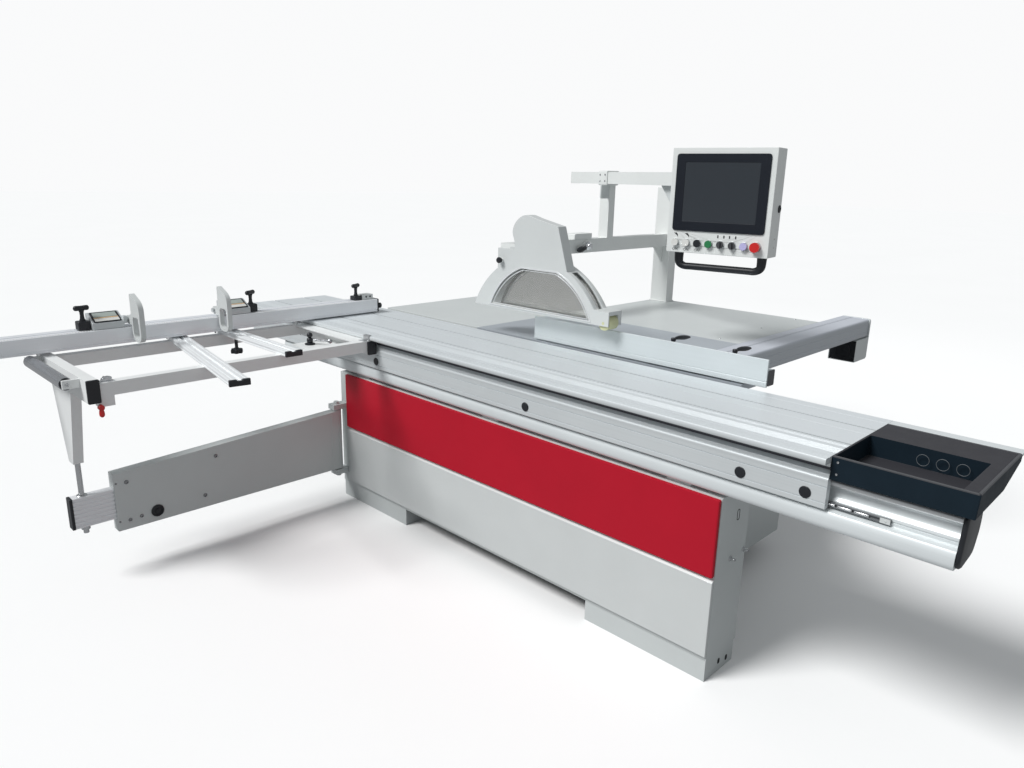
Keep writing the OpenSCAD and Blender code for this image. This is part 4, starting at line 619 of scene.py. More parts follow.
class SAW_OT_finishes(bpy.types.Operator):
    """Makes the shared effects and all finishes, and gives every CAD node its own"""

    bl_idname = "saw.finishes"
    bl_label = "Finishes"

    def execute(self, context):
        c = context.scene.saw_finishes
        GROUPS.update(tone=make_tone_group(), peel=make_peel_group(), lines=make_line_group(),
                      dust=make_dust_group(), ribs=make_rib_group(), top=make_lit_top_group())
        painted("paint", c.paint, 0.4, dust=0.12, coat=0.1)
        painted("white paint", c.white, 0.36, dust=0.08, coat=0.15)
        painted("red paint", c.red, 0.45, amount=0.08, shine=0.25)
        painted("motor paint", (0.05, 0.07, 0.09), 0.45, amount=0.15, dust=0.3)
        painted("frame paint", (0.14, 0.15, 0.16), 0.5, amount=0.15, dust=0.3)
        painted("frame white", (0.77, 0.79, 0.775), 0.38, dust=0.08, coat=0.15)
        # The outrigger's white is lighter than the machine's paint: painted light for its brighter faces
        painted("outrigger white", (0.84, 0.855, 0.85), 0.4, dust=0.06, coat=0.1)
        # The top colours are painted light on upward faces; the darker colours of the guide beam and rip
        # head are painted shade of their fronts
        drawn("aluminium", c.aluminium, 0.42, top=c.bright)
        drawn("aluminium across", (0.5, 0.53, 0.56), 0.42, LINES_X, top=(0.62, 0.65, 0.71))
        drawn("white aluminium", (0.72, 0.76, 0.77), 0.32, metallic=0.15, amount=0.03)
        drawn("rip aluminium", (0.61, 0.66, 0.675), 0.32, metallic=0.15, amount=0.03)
        drawn("head aluminium", (0.5, 0.53, 0.55), 0.42, top=(0.62, 0.66, 0.69))
        # Fence and arm beam aluminium are near white: a painted reflection of the bright surroundings on
        # their shaded fronts
        drawn("fence aluminium", (0.92, 0.94, 0.97), 0.36, LINES_X, metallic=0.2, amount=0.03)
        drawn("slat aluminium", (0.9, 0.92, 0.93), 0.36, metallic=0.25, amount=0.03)
        drawn("tube aluminium with painted reflection", (0.9, 0.91, 0.93), 0.36, LINES_X, metallic=0.25, amount=0.01)
        drawn("stop aluminium", (0.6, 0.63, 0.64), 0.36, (2.0, 400.0, 400.0), amount=0.06, height=0.0003)
        drawn("ground iron", c.iron, 0.36, (6.0, 300.0, 300.0), metallic=0.35, amount=0.06)
        drawn("steel", (0.55, 0.56, 0.57), 0.3, LINES_Z, metallic=0.95, amount=0.12, height=0.0003)
        drawn("bright steel", (0.62, 0.63, 0.64), 0.26, LINES_Z, metallic=0.95, amount=0.12, height=0.0003)
        drawn("rail steel", (0.7, 0.71, 0.72), 0.3, metallic=0.6, amount=0.03, height=0.00005)
        drawn("roller steel", (0.5, 0.51, 0.53), 0.2, metallic=0.9, amount=0.03, height=0.00005)
        drawn("chrome", (0.75, 0.76, 0.78), 0.12, (60.0, 500.0, 60.0), metallic=1.0, height=0.0003)
        drawn("dark chrome", (0.3, 0.3, 0.31), 0.22, (60.0, 60.0, 500.0), metallic=1.0, amount=0.1,
              height=0.0003)
        drawn("bright trim", (0.8, 0.82, 0.83), 0.25, (60.0, 60.0, 60.0), amount=0.04)
        ribbed("rule", (0.78, 0.79, 0.8), 0.4, (1.0, 0.0, 0.0), 0.01, 0.7)
        moulded("amber label", (0.75, 0.52, 0.3), 0.4, amount=0.2)
        moulded("painted hole shade", (0.004, 0.004, 0.005), 0.7)
        moulded("black plastic", c.black, 0.42)
        # The top colour of the tray black is a painted highlight of gloss on its upward faces
        moulded("tray black", c.navy, 0.55, peel=260.0, amount=0.2, shine=0.15, top=(0.04, 0.04, 0.046))
        moulded("dark grey plastic", (0.06, 0.062, 0.068), 0.45)
        moulded("painted slot shade", (0.1, 0.1, 0.115), 0.6, shine=0.2)
        moulded("ring grey", (0.11, 0.12, 0.13), 0.5)
        moulded("white plastic", (0.75, 0.75, 0.72), 0.25, coat=0.3)
        moulded("red plastic", (0.6, 0.012, 0.012), 0.28, coat=0.3)
        moulded("green plastic", (0.02, 0.2, 0.07), 0.28, coat=0.3)
        moulded("violet plastic", (0.5, 0.47, 0.75), 0.28, coat=0.3)
        moulded("roller rubber", c.tyre, 0.5, amount=0.2)
        moulded("screen", (0.022, 0.028, 0.036), 0.16, peel=60.0, amount=0.04, coat=0.6)
        moulded("bezel", (0.006, 0.009, 0.016), 0.5, shine=0.3)
        moulded("read-out", (0.4, 0.45, 0.42), 0.3, peel=200.0, amount=0.1, coat=0.3)
        clear("clear sheet", (0.86, 0.86, 0.84), 0.06)
        # Edges that are rounder or sharper than the rest
        edges = {"tool_tray": 0.0025, "outrigger_frame": 0.0022, "swing_arm": 0.003, "rip_head": 0.002,
                 "guard_hood": 0.002, "panel_box": 0.004, "upper_panel": 0.005}
        for finish, nodes in {"paint": ("base_cabinet", "swing_arm", "rear_table", "right_table"),
                              "frame white": ("guard_arm", "guard_column", "panel_boom", "panel_box"),
                              "outrigger white": ("outrigger_frame",),
                              "white paint": ("lower_panel", "beam_end", "guard_hood", "flap_left",
                                              "flap_right"), "red paint": ("upper_panel",),
                              "ground iron": ("main_table",),
                              "aluminium": ("rail_beam", "carriage", "stop_left", "stop_right"),
                              "head aluminium": ("rip_head",), "aluminium across": ("guide_beam",),
                              "rip aluminium": ("rip_profile",),
                              "fence aluminium": ("crosscut_fence", "arm_tube"),
                              "slat aluminium": ("support_slats",), "bright steel": ("leg_rod",),
                              "roller steel": ("outrigger_roller",), "rail steel": ("rail_rods",),
                              "steel": ("roller_cage", "arbor", "motor_pulley", "saw_blade",
                                        "scoring_blade"),
                              "frame paint": ("tilt_supports", "tilt_frame", "saw_carrier"),
                              "motor paint": ("main_motor",), "tray black": ("tool_tray",),
                              "red plastic": ("frame_lever", "emergency_stop"),
                              "black plastic": ("clamp_lever", "under_knob", "knob_left", "knob_right",
                                                "fence_knob", "rip_lever_a", "rip_lever_b", "hood_lever",
                                                "panel_handle", "button_off"),
                              "white plastic": ("button_main", "button_scoring"),
                              "green plastic": ("button_next",), "violet plastic": ("button_reset",),
                              "dark grey plastic": ("selector_a", "selector_b"),
                              "roller rubber": ("hood_roller",), "clear sheet": ("hood_window",),
                              "bezel": ("panel_screen",),}.items():
            soft = any(word in finish for word in ("paint", "aluminium", "white"))
            for node in nodes:
                dress(node, finish, edges.get(node, context.scene.saw_trim.edge if soft else 0.0))
        return {"FINISHED"}


class SAW_OT_carriage(bpy.types.Operator):
    """Sliding carriage: a grooved extrusion with lip, side slot, band and plugs, and its roller cage"""

    bl_idname = "saw.carriage"
    bl_label = "Carriage"

    def execute(self, context):
        trim = context.scene.saw_trim
        (lip, y0, z0), (x1, y1, top) = place("carriage")
        x0 = lip + LIP_OUT
        slots = [(x0 + share * (x1 - x0), 5, 7, 9) for share in (0.29, 0.69)]
        fine = [(lip + 22, 1.4, 2.0, 0), (x0 + 15, 1.6, 2.5, 0), (x0 + 23, 1.6, 2.5, 0),
                (x1 - 47, 1.2, 1.5, 0), (x1 - 200, 1.0, 1.2, 0)]
        fine += [(x0 + 36 + 8 * k, 1.5, 1.2, 0) for k in range(trim.ribs)]
        fine += [(x0 + 104 + 9 * k, 1.2, 1.0, 0) for k in range(2)]
        outline = at(lip, top, [(6, 0), (1.5, -1), (0, -4), (0, -14), (1.5, -17.5), (5, -18.5)])
        outline += at(x0, top, [(0, -18.5), (0, -31), (20, -31), (20, -45), (6.5, -54), (5, -57), (5, -64),
                                (2, -65.5), (0.5, -68), (0, -71), (0.5, -74.5), (1, -77), (1, -89.2),
                                (3.8, -89.8), (3.8, -91.6), (0.8, -92.4), (0.8, -135.5), (3, -136.2),
                                (3, -138), (0.8, -138.8)])
        outline += at(x0, z0, [(0.8, 3), (4, 0), (24, 0)])
        outline += at(x0, top, [(24, -32), (210, -32), (210, -135), (232, -135), (232, -25)])
        outline += at(x1, top, [(-22, -25), (0, -4), (0, -0.8), (-0.8, 0)]) + dips(slots + fine, top)
        build("Carriage_extrusion", along(outline, "y", y0, y1), "aluminium", "carriage",
              instead="carriage", smooth=28)
        # Slot shade: a dark grey sheet at the back of the side slot, painted shade of the slot's inside
        build("Carriage_slot_shade", block((x0 + 18.4, y0 + 0.5, top - 45.5), (x0 + 19.8, y1 - 0.5, top - 31.5)),
              "painted slot shade", "carriage")
        r = trim.plug / MM / 2
        plug = turned([(r, -1), (r, 0.8), (0.93 * r, 1.8), (0.7 * r, 2.1), (0.02 * r, 2.2)], (x0, 0, 750),
                      LEFT)
        build("Carriage_plugs", many(plug, [(0, y, 0) for y in (606, -324, -1189, -1383)]), "black plastic",
              "carriage")
        tray = place("tool_tray")
        build("Carriage_strip", block((tray[1][0] + 1, tray[0][1], top - 8), (x1, y0, top)),
              "white aluminium", "carriage", bevel=1.5)
        # Cage: a strip with long windows, a roller lying in each, and a plate at its near end
        (x0, y0, z0), (x1, y1, z1) = place("roller_cage")
        z = middle("roller_cage")[2]
        strip = [block((x0 + 3, y0, z1 - 3), (x1, y1, z1)), block((x0 + 3, y0, z0), (x1, y1, z0 + 3)),
                 block((x1 - 4, y0, z0 + 2), (x1 - 2, y1, z1 - 2))]
        build("Cage_strip", strip, "frame paint", "cage", slot="steel", instead="roller_cage")
        roller = turned([(0.5, -19), (3.6, -19), (4.0, -18), (4.0, 18), (3.6, 19), (0.5, 19)],
                        (x0 + 4.2, 0, z), BACK, 14)
        build("Cage_rollers", many(roller, [(0, y, 0) for y in np.linspace(y0 + 72, y1 - 40, 70)]),
              "bright steel", "cage")
        plate = [block((x0 + 2, y0, z0), (x0 + 5, y0 + 26, z1)), screw((x0 + 2, y0 + 12, z), LEFT, 6)]
        build("Cage_end", plate, "white paint", "cage", slot="steel", bevel=0.8)
        return {"FINISHED"}


class SAW_OT_rail(bpy.types.Operator):
    """Guide beam of the carriage: a hollow-faced profile with a rounded skirt, and its end covers"""

    bl_idname = "saw.rail"
    bl_label = "Carriage guide beam"

    def execute(self, context):
        (x0, y0, z0), (x1, y1, top) = place("rail_beam")
        outline = at(x0, top, [(34, 0), (30.4, -1), (30.4, -22), (37, -29), (40.5, -38), (39.5, -48),
                               (35, -57), (30, -63), (28.5, -66), (28.5, -72.5), (31, -73), (31, -76),
                               (28.5, -76.5), (28.5, -84), (24, -86), (13, -87.5), (6, -91), (1.8, -98),
                               (0, -109), (0, -126), (1.5, -135), (6, -141)])
        outline += [(x0 + 13, z0), (x1 - 4, z0), (x1, z0 + 4), (x1, top - 2), (x1 - 2, top)]
        build("Guide_beam_of_carriage", along(outline, "y", y0, y1), "white aluminium", "base",
              instead="rail_beam", smooth=32)
        # Covers: a domed plate near the beam's outline at each end
        outer = rounded([(x0 + 22, top + 1), (x1 - 36, top + 1), (x1 - 24, top - 20), (x1 - 24, top - 70),
                         (x1 - 56, z0 + 10), (x0 + 24, z0 - 1), (x0 + 2, z0 + 22), (x0 + 12, top - 78)], 22,
                        6)
        inner = (outer - outer.mean(0)) * 0.9 + outer.mean(0)
        covers = [loft(placed([outer, outer, (outer + inner) / 2, inner], "y",
                              y + out * np.array([-0.5, 7, 10.5, 11.5]))) for y, out in ((y0, -1), (y1, 1))]
        build("Guide_beam_covers", covers, "black plastic", "base", smooth=50)
        return {"FINISHED"}


class SAW_OT_tray(bpy.types.Operator):
    """Tool tray: a rolled rim in lighter grey as a painted highlight of its edge, knock-out rings in the
    raised block and screws
    """

    bl_idname = "saw.tray"
    bl_label = "Tool tray"

    def execute(self, context):
        (x0, y0, _), (x1, y1, top) = place("tool_tray")
        rings = [turned_ring(16, 0.9, (x0 + TRAY_BLOCK, y, 838), RIGHT) for y in (-1593, -1643, -1693)]
        build("Tray_rings", rings, "ring grey", "carriage")
        # Rim: a lip along the tray's top edge, lighter grey than the tray as a painted highlight of the edge
        path = [(x0 + 4, y1 - 1, top), (x0 + 4, y0 + 4, top), (x1 - 4, y0 + 4, top), (x1 - 4, y1 - 1, top)]
        lip = [(-4, -2.5), (4, -2.5), (4, 0.2), (2.4, 1.4), (-2.4, 1.4), (-4, 0.2)]
        sides = [sweep(lip, np.linspace(a, b, 3)) for a, b in zip(path, path[1:])]
        build("Tray_rim_highlight", sides, "dark grey plastic", "carriage", slot="tray_black")
        pins = [screw((x0 - 0.3, y1 - 18, top - z), LEFT, 7) for z in (14, 48)]
        build("Tray_screws", pins, "bright steel", "carriage")
        return {"FINISHED"}


class SAW_OT_outrigger(bpy.types.Operator):
    """Outrigger: grooved slats with notched caps, beam caps, leg, roller ends, toggle and clamp levers"""

    bl_idname = "saw.outrigger"
    bl_label = "Outrigger"

    def execute(self, context):
        # Slats: a low profile with a middle groove and rolled edges, one straight and one turned
        w, base, high = 35, TABLE_TOP - 20, TABLE_TOP
        half = at(w, base, [(0, 0), (0, 4), (-2.5, 6), (-2.5, 10), (0, 12)])
        half += at(w, high, [(0, -3), (-1.5, -0.6), (-5, 0)])
        half += at(0, high, [(24, 0), (23, -1.6), (20, -1.6), (19, 0), (7.5, 0), (6.5, -0.8), (6.5, -6)])
        outline = half + [(-x, z) for x, z in reversed(half)]
        tip = [(-w - 1.5, base - 2), (w + 1.5, base - 2), (w + 1.5, high + 1), (11, high + 1),
               (9, high - 4), (-9, high - 4), (-11, high + 1), (-w - 1.5, high + 1)]
        slats, caps = [], []
        for length, turn, by in ((630, 0, (-903.52, 560, 0)), (915, -9.3, (-1269.94, 280, 0))):
            slats.append(moved(along(outline, "y", 0, length), turn, by))
            caps += [moved(cap, turn, by) for cap in ends(tip, "y", 0, length, 9, 4)]
        build("Support_slats", slats, "slat aluminium", "outrigger", instead="support_slats", smooth=30)
        x0, x1, y0, y1 = -1660.0, -478.0, 600.0, 1170.0
        for x, wide, z, tall in ((x0 + 20, 42, 785, 80), (x1 - 21, 44, 789.5, 58.5)):
            caps += ends(rounded(rect(wide, tall + 3) + (x, z + tall / 2), 5), "y", y0, y1, 9, 1)
        build("Beam_caps", caps, "black plastic", "outrigger", bevel=1.5)
        hook = at(x1, 0, [(-58, 850.2), (-30, 850.2), (-30, 871), (-15, 871), (-15, 872.6), (-31.8, 872.6),
                          (-31.8, 852), (-58, 852)])
        build("Carriage_hook", along(hook, "y", y0 + 4, y0 + 44), "steel", "outrigger", bevel=0.6)
        # Toggle on the near beam: a plate, a rocker and a round pin
        rocker = rounded([(-1606, 853), (-1576, 853), (-1570, 864), (-1584, 868), (-1604, 862)], 4)
        pin = turned([(0.3, -14), (4.5, -14), (5, -13), (5, 13), (4.5, 14), (0.3, 14)], (-1592, 620, 862),
                     BACK, 18)
        toggle = [block((-1616, 606, 849.5), (-1566, 634, 853), 6), along(rocker, "y", 612, 628), pin]
        build("Beam_toggle", toggle, "chrome", "outrigger", bevel=0.8)
        # Bearings of the roller: rounded ears with a dark ring and a pin
        x, _, z = middle("outrigger_roller")
        rings, pins = [], []
        for y, out in ((674.0, -1), (1112.0, 1)):
            rings.append(turned([(20, 0), (21, 2), (21, 9), (17, 11), (0.3, 11)], (x, y - out * 11, z),
                                out * BACK))
            pins.append(screw((x, y + out * 12.4, z), out * BACK, 13))
        build("Roller_seals", rings, "black plastic", "outrigger")
        build("Roller_pins", pins, "bright steel", "outrigger")
        # Leg rod: a threaded rod, its radius in small steps
        low, high = place("leg_rod")
        thread = np.stack([10 - 0.35 * (np.arange(120) % 2), np.linspace(low[2], high[2], 120)], -1)
        build("Leg_rod", turned(thread, (*middle("leg_rod")[:2], 0), UP, 20), "bright steel", "outrigger",
              slot="rod_chrome", instead="leg_rod", smooth=50)
        # Red lever: a flattened grip that swells to its end, on a round hub
        low, high = place("frame_lever")
        x, y, _ = middle("frame_lever")
        z = high[2] - 10
        hub = turned([(0.3, 0), (9, 0), (10, 1.5), (10, 17), (9, 18.5), (0.3, 18.5)], (x, high[1], z),
                     FRONT)
        grip = tube([(x, y, z), (x, y, z - 12), (x, y - 1, z - 26), (x, y - 1, low[2])],
                    [7, 6.5, 8.5, 9, 8, 4])
        build("Red_lever", [hub, grip], "red plastic", "frame_lever", instead="frame_lever", smooth=50)
        # Clamp lever: a round black foot with a ball, and a chrome rod with a round end
        foot = np.array([-640.0, 880.0, place("clamp_lever")[0][2]])
        cone = turned([(0.3, 0), (23, 0), (24, 2), (23, 5), (15, 8), (12, 10), (14, 14), (14, 24), (11, 29),
                       (6, 31.5), (0.3, 32)], foot, UP)
        build("Clamp_lever", [cone, ball(13, foot + (0, 0, 43))], "black plastic", "clamp_lever",
              instead="clamp_lever", smooth=50)
        turn = math.radians(-53)
        far = np.array([foot[0] + 95 * math.cos(turn), foot[1] + 95 * math.sin(turn),
                        middle("clamp_lever")[2] + 2])
        start = foot + (0, 0, 19)
        rod = tube([start, start * 0.6 + far * 0.4 + (0, 0, 1), far], [4.5, 4.5], 14, up=UP)
        build("Clamp_rod", [rod, ball(11.5, far)], "roller steel", "clamp_lever", smooth=50)
        # Star knob below: a lobed disc whose radius waves with the angle
        low, high = place("under_knob")
        wave = 25 + 3 * np.cos(6 * np.linspace(0, 2 * np.pi, 72, endpoint=False))
        star = lobed([0.55, 0.95, 1.0, 1.0, 0.9, 0.4, 0.28, 0.26], wave, middle("under_knob")[:2], "z",
                     low[2] + np.array([0, 1.0, 4, 15, 20, 23, 26, high[2] - low[2]]))
        build("Star_knob", star, "black plastic", "under_knob", instead="under_knob", smooth=50)
        return {"FINISHED"}


class SAW_OT_fence(bpy.types.Operator):
    """Crosscut fence with its rule, its flip stops with read-outs, and the wing knobs"""

    bl_idname = "saw.fence"
    bl_label = "Crosscut fence"

    def execute(self, context):
        (x0, y0, z0), (x1, y1, _) = place("crosscut_fence")
        top = z0 + FENCE_TALL
        outline = at(y0, top, [(3.5, 0), (1, -1), (0, -3.5)])
        outline += at(y0, z0, [(0, 12), (2, 10), (2, 8), (0, 6), (0, 2), (2, 0)])
        outline += [(y1 - 2, z0), (y1, z0 + 2), (y1, top - 2), (y1 - 2, top)]
        grooves = [(y0 + 12.5, 7, 0.8, 0), (y0 + 47.5, 6, 7, 10), (y0 + 84, 2, 1.5, 0)]
        grooves += [(y0 + y, 1, 1.2, 0) for y in (29, 33, 64, 70, 76)]
        build("Crosscut_fence", along(outline + dips(grooves, top), "x", x0, x1), "fence aluminium",
              "fence", instead="crosscut_fence", smooth=30)
        build("Fence_rule", block((x0 + 4, y0 + 6.5, top - 0.7), (x1 - 140, y0 + 18.5, top - 0.1)), "rule",
              "fence")
        end = rounded(rect(y1 - y0 + 3, 67) + ((y0 + y1) / 2, z0 + 32), 5)
        knob = turned([(0.3, 0), (9, 0), (9, 4), (13, 6), (14, 9), (13.5, 17), (11, 19), (0.3, 19.5)],
                      (x1 + 4, y0 + 6, z0 + 30), RIGHT, 28)
        build("Fence_ends", [*ends(end, "x", x0, x1, 6, 1), knob], "black plastic", "fence", smooth=45)
        c0, c1, front, back = -240.0, -130.0, 1105.0, 1155.0
        build("Fence_clamp", block((c0 + 46, front, top - 0.5), (c1, back, top + 27), 3, "x"),
              "white paint", "fence", bevel=1.5)
        heads = [screw((x, front - 0.3, top + 15), FRONT, 9) for x in (c0 + 68, c0 + 92)]
        build("Clamp_screws", heads, "black plastic", "fence")
        seats = {"fence": block((c0, front + 4, top - 0.5), (c0 + 45, back - 4, top + 21.8), 4)}
        slope = math.degrees(math.atan2(34, 65))
        for name, side in (("left", 1), ("right", -1)):
            stop, flap = "stop_" + name, "flap_" + name
            low, high = place(stop)
            z = low[2]
            # Body: a wedge between its base and ridge, with the pin of the flap
            span = (low[0] + 45, low[0] + 165) if side > 0 else (high[0] - 165, high[0] - 45)
            near = span[side > 0]
            wedge = rounded([(1095, z), (1175, z), (1175, z + 60), (1160, z + 60), (1095, z + 26)],
                            [1.5, 1.5, 4, 4, 3], 4)
            pin_z = z + 27.6
            pin = turned([(0.3, 0), (6, 0), (6, 44), (10, 44), (10, 50), (9, 51), (0.3, 51)],
                         (near - side, 1116.0, pin_z), side * RIGHT, 24)
            a, b = sorted((near, near + 14 * side))
            ear = block((a, 1104, z + 14), (b, 1130, z + 44), 5, "x")
            build("Stop_" + name, [along(wedge, "x", *span), pin, ear], "stop aluminium", stop,
                  instead=stop, bevel=1.2)
            # Read-out: plates on the slope of the wedge
            for part, lowest, highest, corner, finish, bevel in (
                ("frame", (-52, 4, -1), (52, 71, 3.2), 5, "black plastic", 1),
                ("readout", (-44, 36, 0), (44, 65, 3.7), 2, "read-out", 0),
                ("band", (-46, 28.5, 0), (46, 34, 3.6), 1, "amber label", 0),
                ("keys", (-46, 9, 0), (46, 27, 3.6), 1, "white plastic", 0),
            ):
                plate = moved(block(lowest, highest, corner), slope, (sum(span) / 2, 1095, z + 26), "x")
                build("Stop_%s_%s" % (part, name), plate, finish, stop, bevel=bevel)
            # Flap: a rounded loop with an ear at the pin
            x0, x1 = (p[0] for p in place(flap))
            outer = rounded([(984, 884), (1075, 884), (1075, 1081), (984, 1043)], [42, 40, 12, 36], 8)
            inner = rounded([(998, 898), (1061, 898), (1061, 985), (998, 985)], [30, 28, 18, 18], 8)
            ear = rounded(at(0, pin_z, [(1070, -18), (1130, -18), (1130, 17), (1092, 17), (1070, 34)]),
                          [1, 14, 14, 8, 1], 5)
            loop = [ring_plate(outer, inner, "x", x0, x1), along(ear, "x", x0 + 0.4, x1 - 0.4)]
            build("Flap_" + name, loop, "white paint", flap, instead=flap, bevel=1.8)
            x = middle("knob_" + name)[0]
            seats[stop] = block((x - 23, 1113, z), (x + 23, 1157, z + 36), 5)
        for body, seat in seats.items():
            build("Knob_seat_" + body, seat, "black plastic", body, bevel=4)
        for node, turn in (("knob_left", 6), ("knob_right", 28), ("fence_knob", 22)):
            knob = wing_knob(*middle(node)[:2], place(node)[0][2], turn)
            build("Wing_" + node, knob, "black plastic", node, instead=node, smooth=50)
        return {"FINISHED"}


class SAW_OT_arm(bpy.types.Operator):
    """Swing arm's screws and knurled cap, and its grooved telescopic beam"""

    bl_idname = "saw.arm"
    bl_label = "Swing arm"

    def execute(self, context):
        face = 880.0
        near = ((-1119, 384, 17), (-1178, 220, 17), (-1484, 365, 17), (-1485, 203, 15), (-1441, 206, 15),
                (-1523, 368, 8), (-1523, 205, 8))
        heads = [screw((x, face, z), FRONT, size) for x, z, size in near]
        heads += [screw((x, face + 50, z), BACK, size) for x, z, size in near[:3]]
        build("Arm_screws", heads, "dark chrome", "swing_arm")
        # Cap: a knurled rim whose radius waves quickly with the angle, around a dished middle
        wave = 1 + 0.02 * np.sign(np.sin(24 * np.linspace(0, 2 * np.pi, 96, endpoint=False)))
        cap = lobed([25, 25, 22, 17, 15.5, 10, 9, 0.4], wave, (-1378, 211), "y",
                    face - np.array([-0.5, 5, 7.5, 7.5, 4, 4, 6, 6]))
        build("Arm_cap", cap, "black plastic", "swing_arm", smooth=40)
        build("Arm_flange", block((-548, face - 2, 175), (-538, face + 52, 446), 2), "paint", "swing_arm",
              bevel=1)
        # Beam: a tall profile with rolled grooves on both faces
        x0, x1 = (p[0] for p in place("arm_tube"))
        y0, y1, z0, z1 = 885.0, 925.0, 220.3, 345.3
        side = [(d, z + lift) for z in np.linspace(z0 + 12, z1 - 12, 7)
                for d, lift in ((0, -4.5), (3.5, -2.5), (3.5, 2.5), (0, 4.5))]
        outline = [(y0 + 2, z0), (y0, z0 + 2), *((y0 + d, z) for d, z in side), (y0, z1 - 2), (y0 + 2, z1),
                   (y1 - 2, z1), (y1, z1 - 2), *((y1 - d, z) for d, z in reversed(side)), (y1, z0 + 2),
                   (y1 - 2, z0)]
        build("Arm_beam", along(outline, "x", x0, x1), "tube aluminium with painted reflection", "arm_tube", instead="arm_tube",
              smooth=30)
        x, y = -1640.0, 905.0
        ring = turned([(10.5, 0), (19, 0), (19, 3), (18, 4), (10.5, 4)], (x, y, z1), UP)
        nut = turned([(0.3, 0), (16, 0), (16, -13), (15, -14), (10, -14), (10, -29), (9, -30), (0.3, -30)],
                     (x, y, z0), UP, 24)
        build("Arm_beam_fittings", [ring, nut], "bright steel", "arm_tube")
        end = rounded(rect(43, 128) + ((y0 + y1) / 2, (z0 + z1) / 2), 5)
        build("Arm_beam_cap", along(end, "x", x0 - 10, x0 + 1), "black plastic", "arm_tube", bevel=2)
        return {"FINISHED"}


class SAW_OT_rip(bpy.types.Operator):
    """Rip fence's curved levers and board, its guide beam with rolled lines and the end drive"""

    bl_idname = "saw.rip"
    bl_label = "Rip fence"

    def execute(self, context):
        for node in ("rip_lever_a", "rip_lever_b"):
            (x, _, z), (x1, _, top) = place(node)
            x, y, tall = x + 9, middle(node)[1], top - z
            stem = turned([(0.3, 0), (12, 0), (12, 5), (8, 9), (7.5, tall - 16), (10, tall - 10),
                           (10, tall - 3), (8, tall), (0.3, tall)], (x, y, z), UP, 24)
            grip = tube([(x, y, top - 7), (x + 30, y, top - 4), (x + 75, y, top - 8),
                         (x1 + 16, y, top - 13)], [6, 5.5, 7.5, 9, 9.5, 8, 4])
            build("Curved_" + node, [stem, grip], "black plastic", node, instead=node, smooth=50)
        # Face board: a thin board with a line near its foot, and the ribbed foot behind it
        (x, y0, z0), (_, y1, z1) = place("rip_profile")
        board = at(x, z0, [(0, 1), (0, 18), (0.8, 19), (0.8, 21), (0, 22)])
        board += at(x, z1, [(0, -2), (2, 0), (6, 0), (8, -2)])
        board += at(x, z0, [(8, 60), (14, 60), (14, 54), (24, 54), (24, 60), (48, 60), (50, 58), (50, 6),
                            (48, 4), (8, 4), (8, 0), (1, 0)])
        build("Rip_board", along(board, "y", y0, y1), "rip aluminium", "rip_profile", instead="rip_profile",
              smooth=30)
        end = rounded(rect(42, 56) + (x + 29, z0 + 32), 4)
        build("Rip_board_ends", ends(end, "y", y0, y1, 4, 0.5), "dark grey plastic", "rip_profile", bevel=1)
        (x0, y0, z0), (x1, y1, z1) = place("guide_beam")
        outline = at(y0, z1, [(14, 0), (7, -1.2), (2.5, -5), (0, -13), (0, -30), (1.5, -31), (1.5, -33),
                              (0, -34), (0, -66), (1.5, -67), (1.5, -69), (0, -70)])
        outline += at(y0, z0, [(0, 8), (2.5, 2.5), (8, 0)])
        outline += [(y1 - 8, z0), (y1, z0 + 8), (y1, z1 - 2), (y1 - 2, z1)]
        outline += dips([(y1 - 50, 1.5, 1.5, 0), (y1 - 58, 1.5, 1.5, 0)], z1)
        build("Rip_guide_beam", along(outline, "x", x0, x1), "aluminium across", "base",
              instead="guide_beam", smooth=40)
        # Drive: a sheet-metal cover open to the left on the end plate, with the motor in it
        lo, hi = place("beam_end")
        plate = rounded([lo[1:], (hi[1], lo[2]), hi[1:], (lo[1], hi[2])], [10, 10, 14, 14])
        span = np.array([hi[1] - 18 - lo[1], z0 - 3 - lo[2]])
        mid = np.array([(lo[1] + hi[1] - 18) / 2, (lo[2] + z0 - 3) / 2])
        inner = rect(*(span - 5)) + mid
        cover = ring_plate(rect(*span) + mid, inner, "x", lo[0], hi[0] - 9)
        build("Beam_end_plate", [along(plate, "x", hi[0] - 10, hi[0]), cover], "paint", "base",
              slot="white_paint", instead="beam_end", bevel=1)
        x, low, high = lo[0] + 9, inner.min(0) - 0.5, inner.max(0) + 0.5
        bell = turned([(0.3, 6), (12, 6), (13, 5), (36, 5), (38, 3), (38, -1), (0.3, -1)], (x, *mid), LEFT)
        heads = [screw((x, mid[0] + y, mid[1] + z), LEFT, 10) for y in (-50, 50) for z in (-42, 42)]
        build("Beam_drive", [block((x, *low), (hi[0] - 12, *high)), bell, *heads], "black plastic", "base")
        return {"FINISHED"}


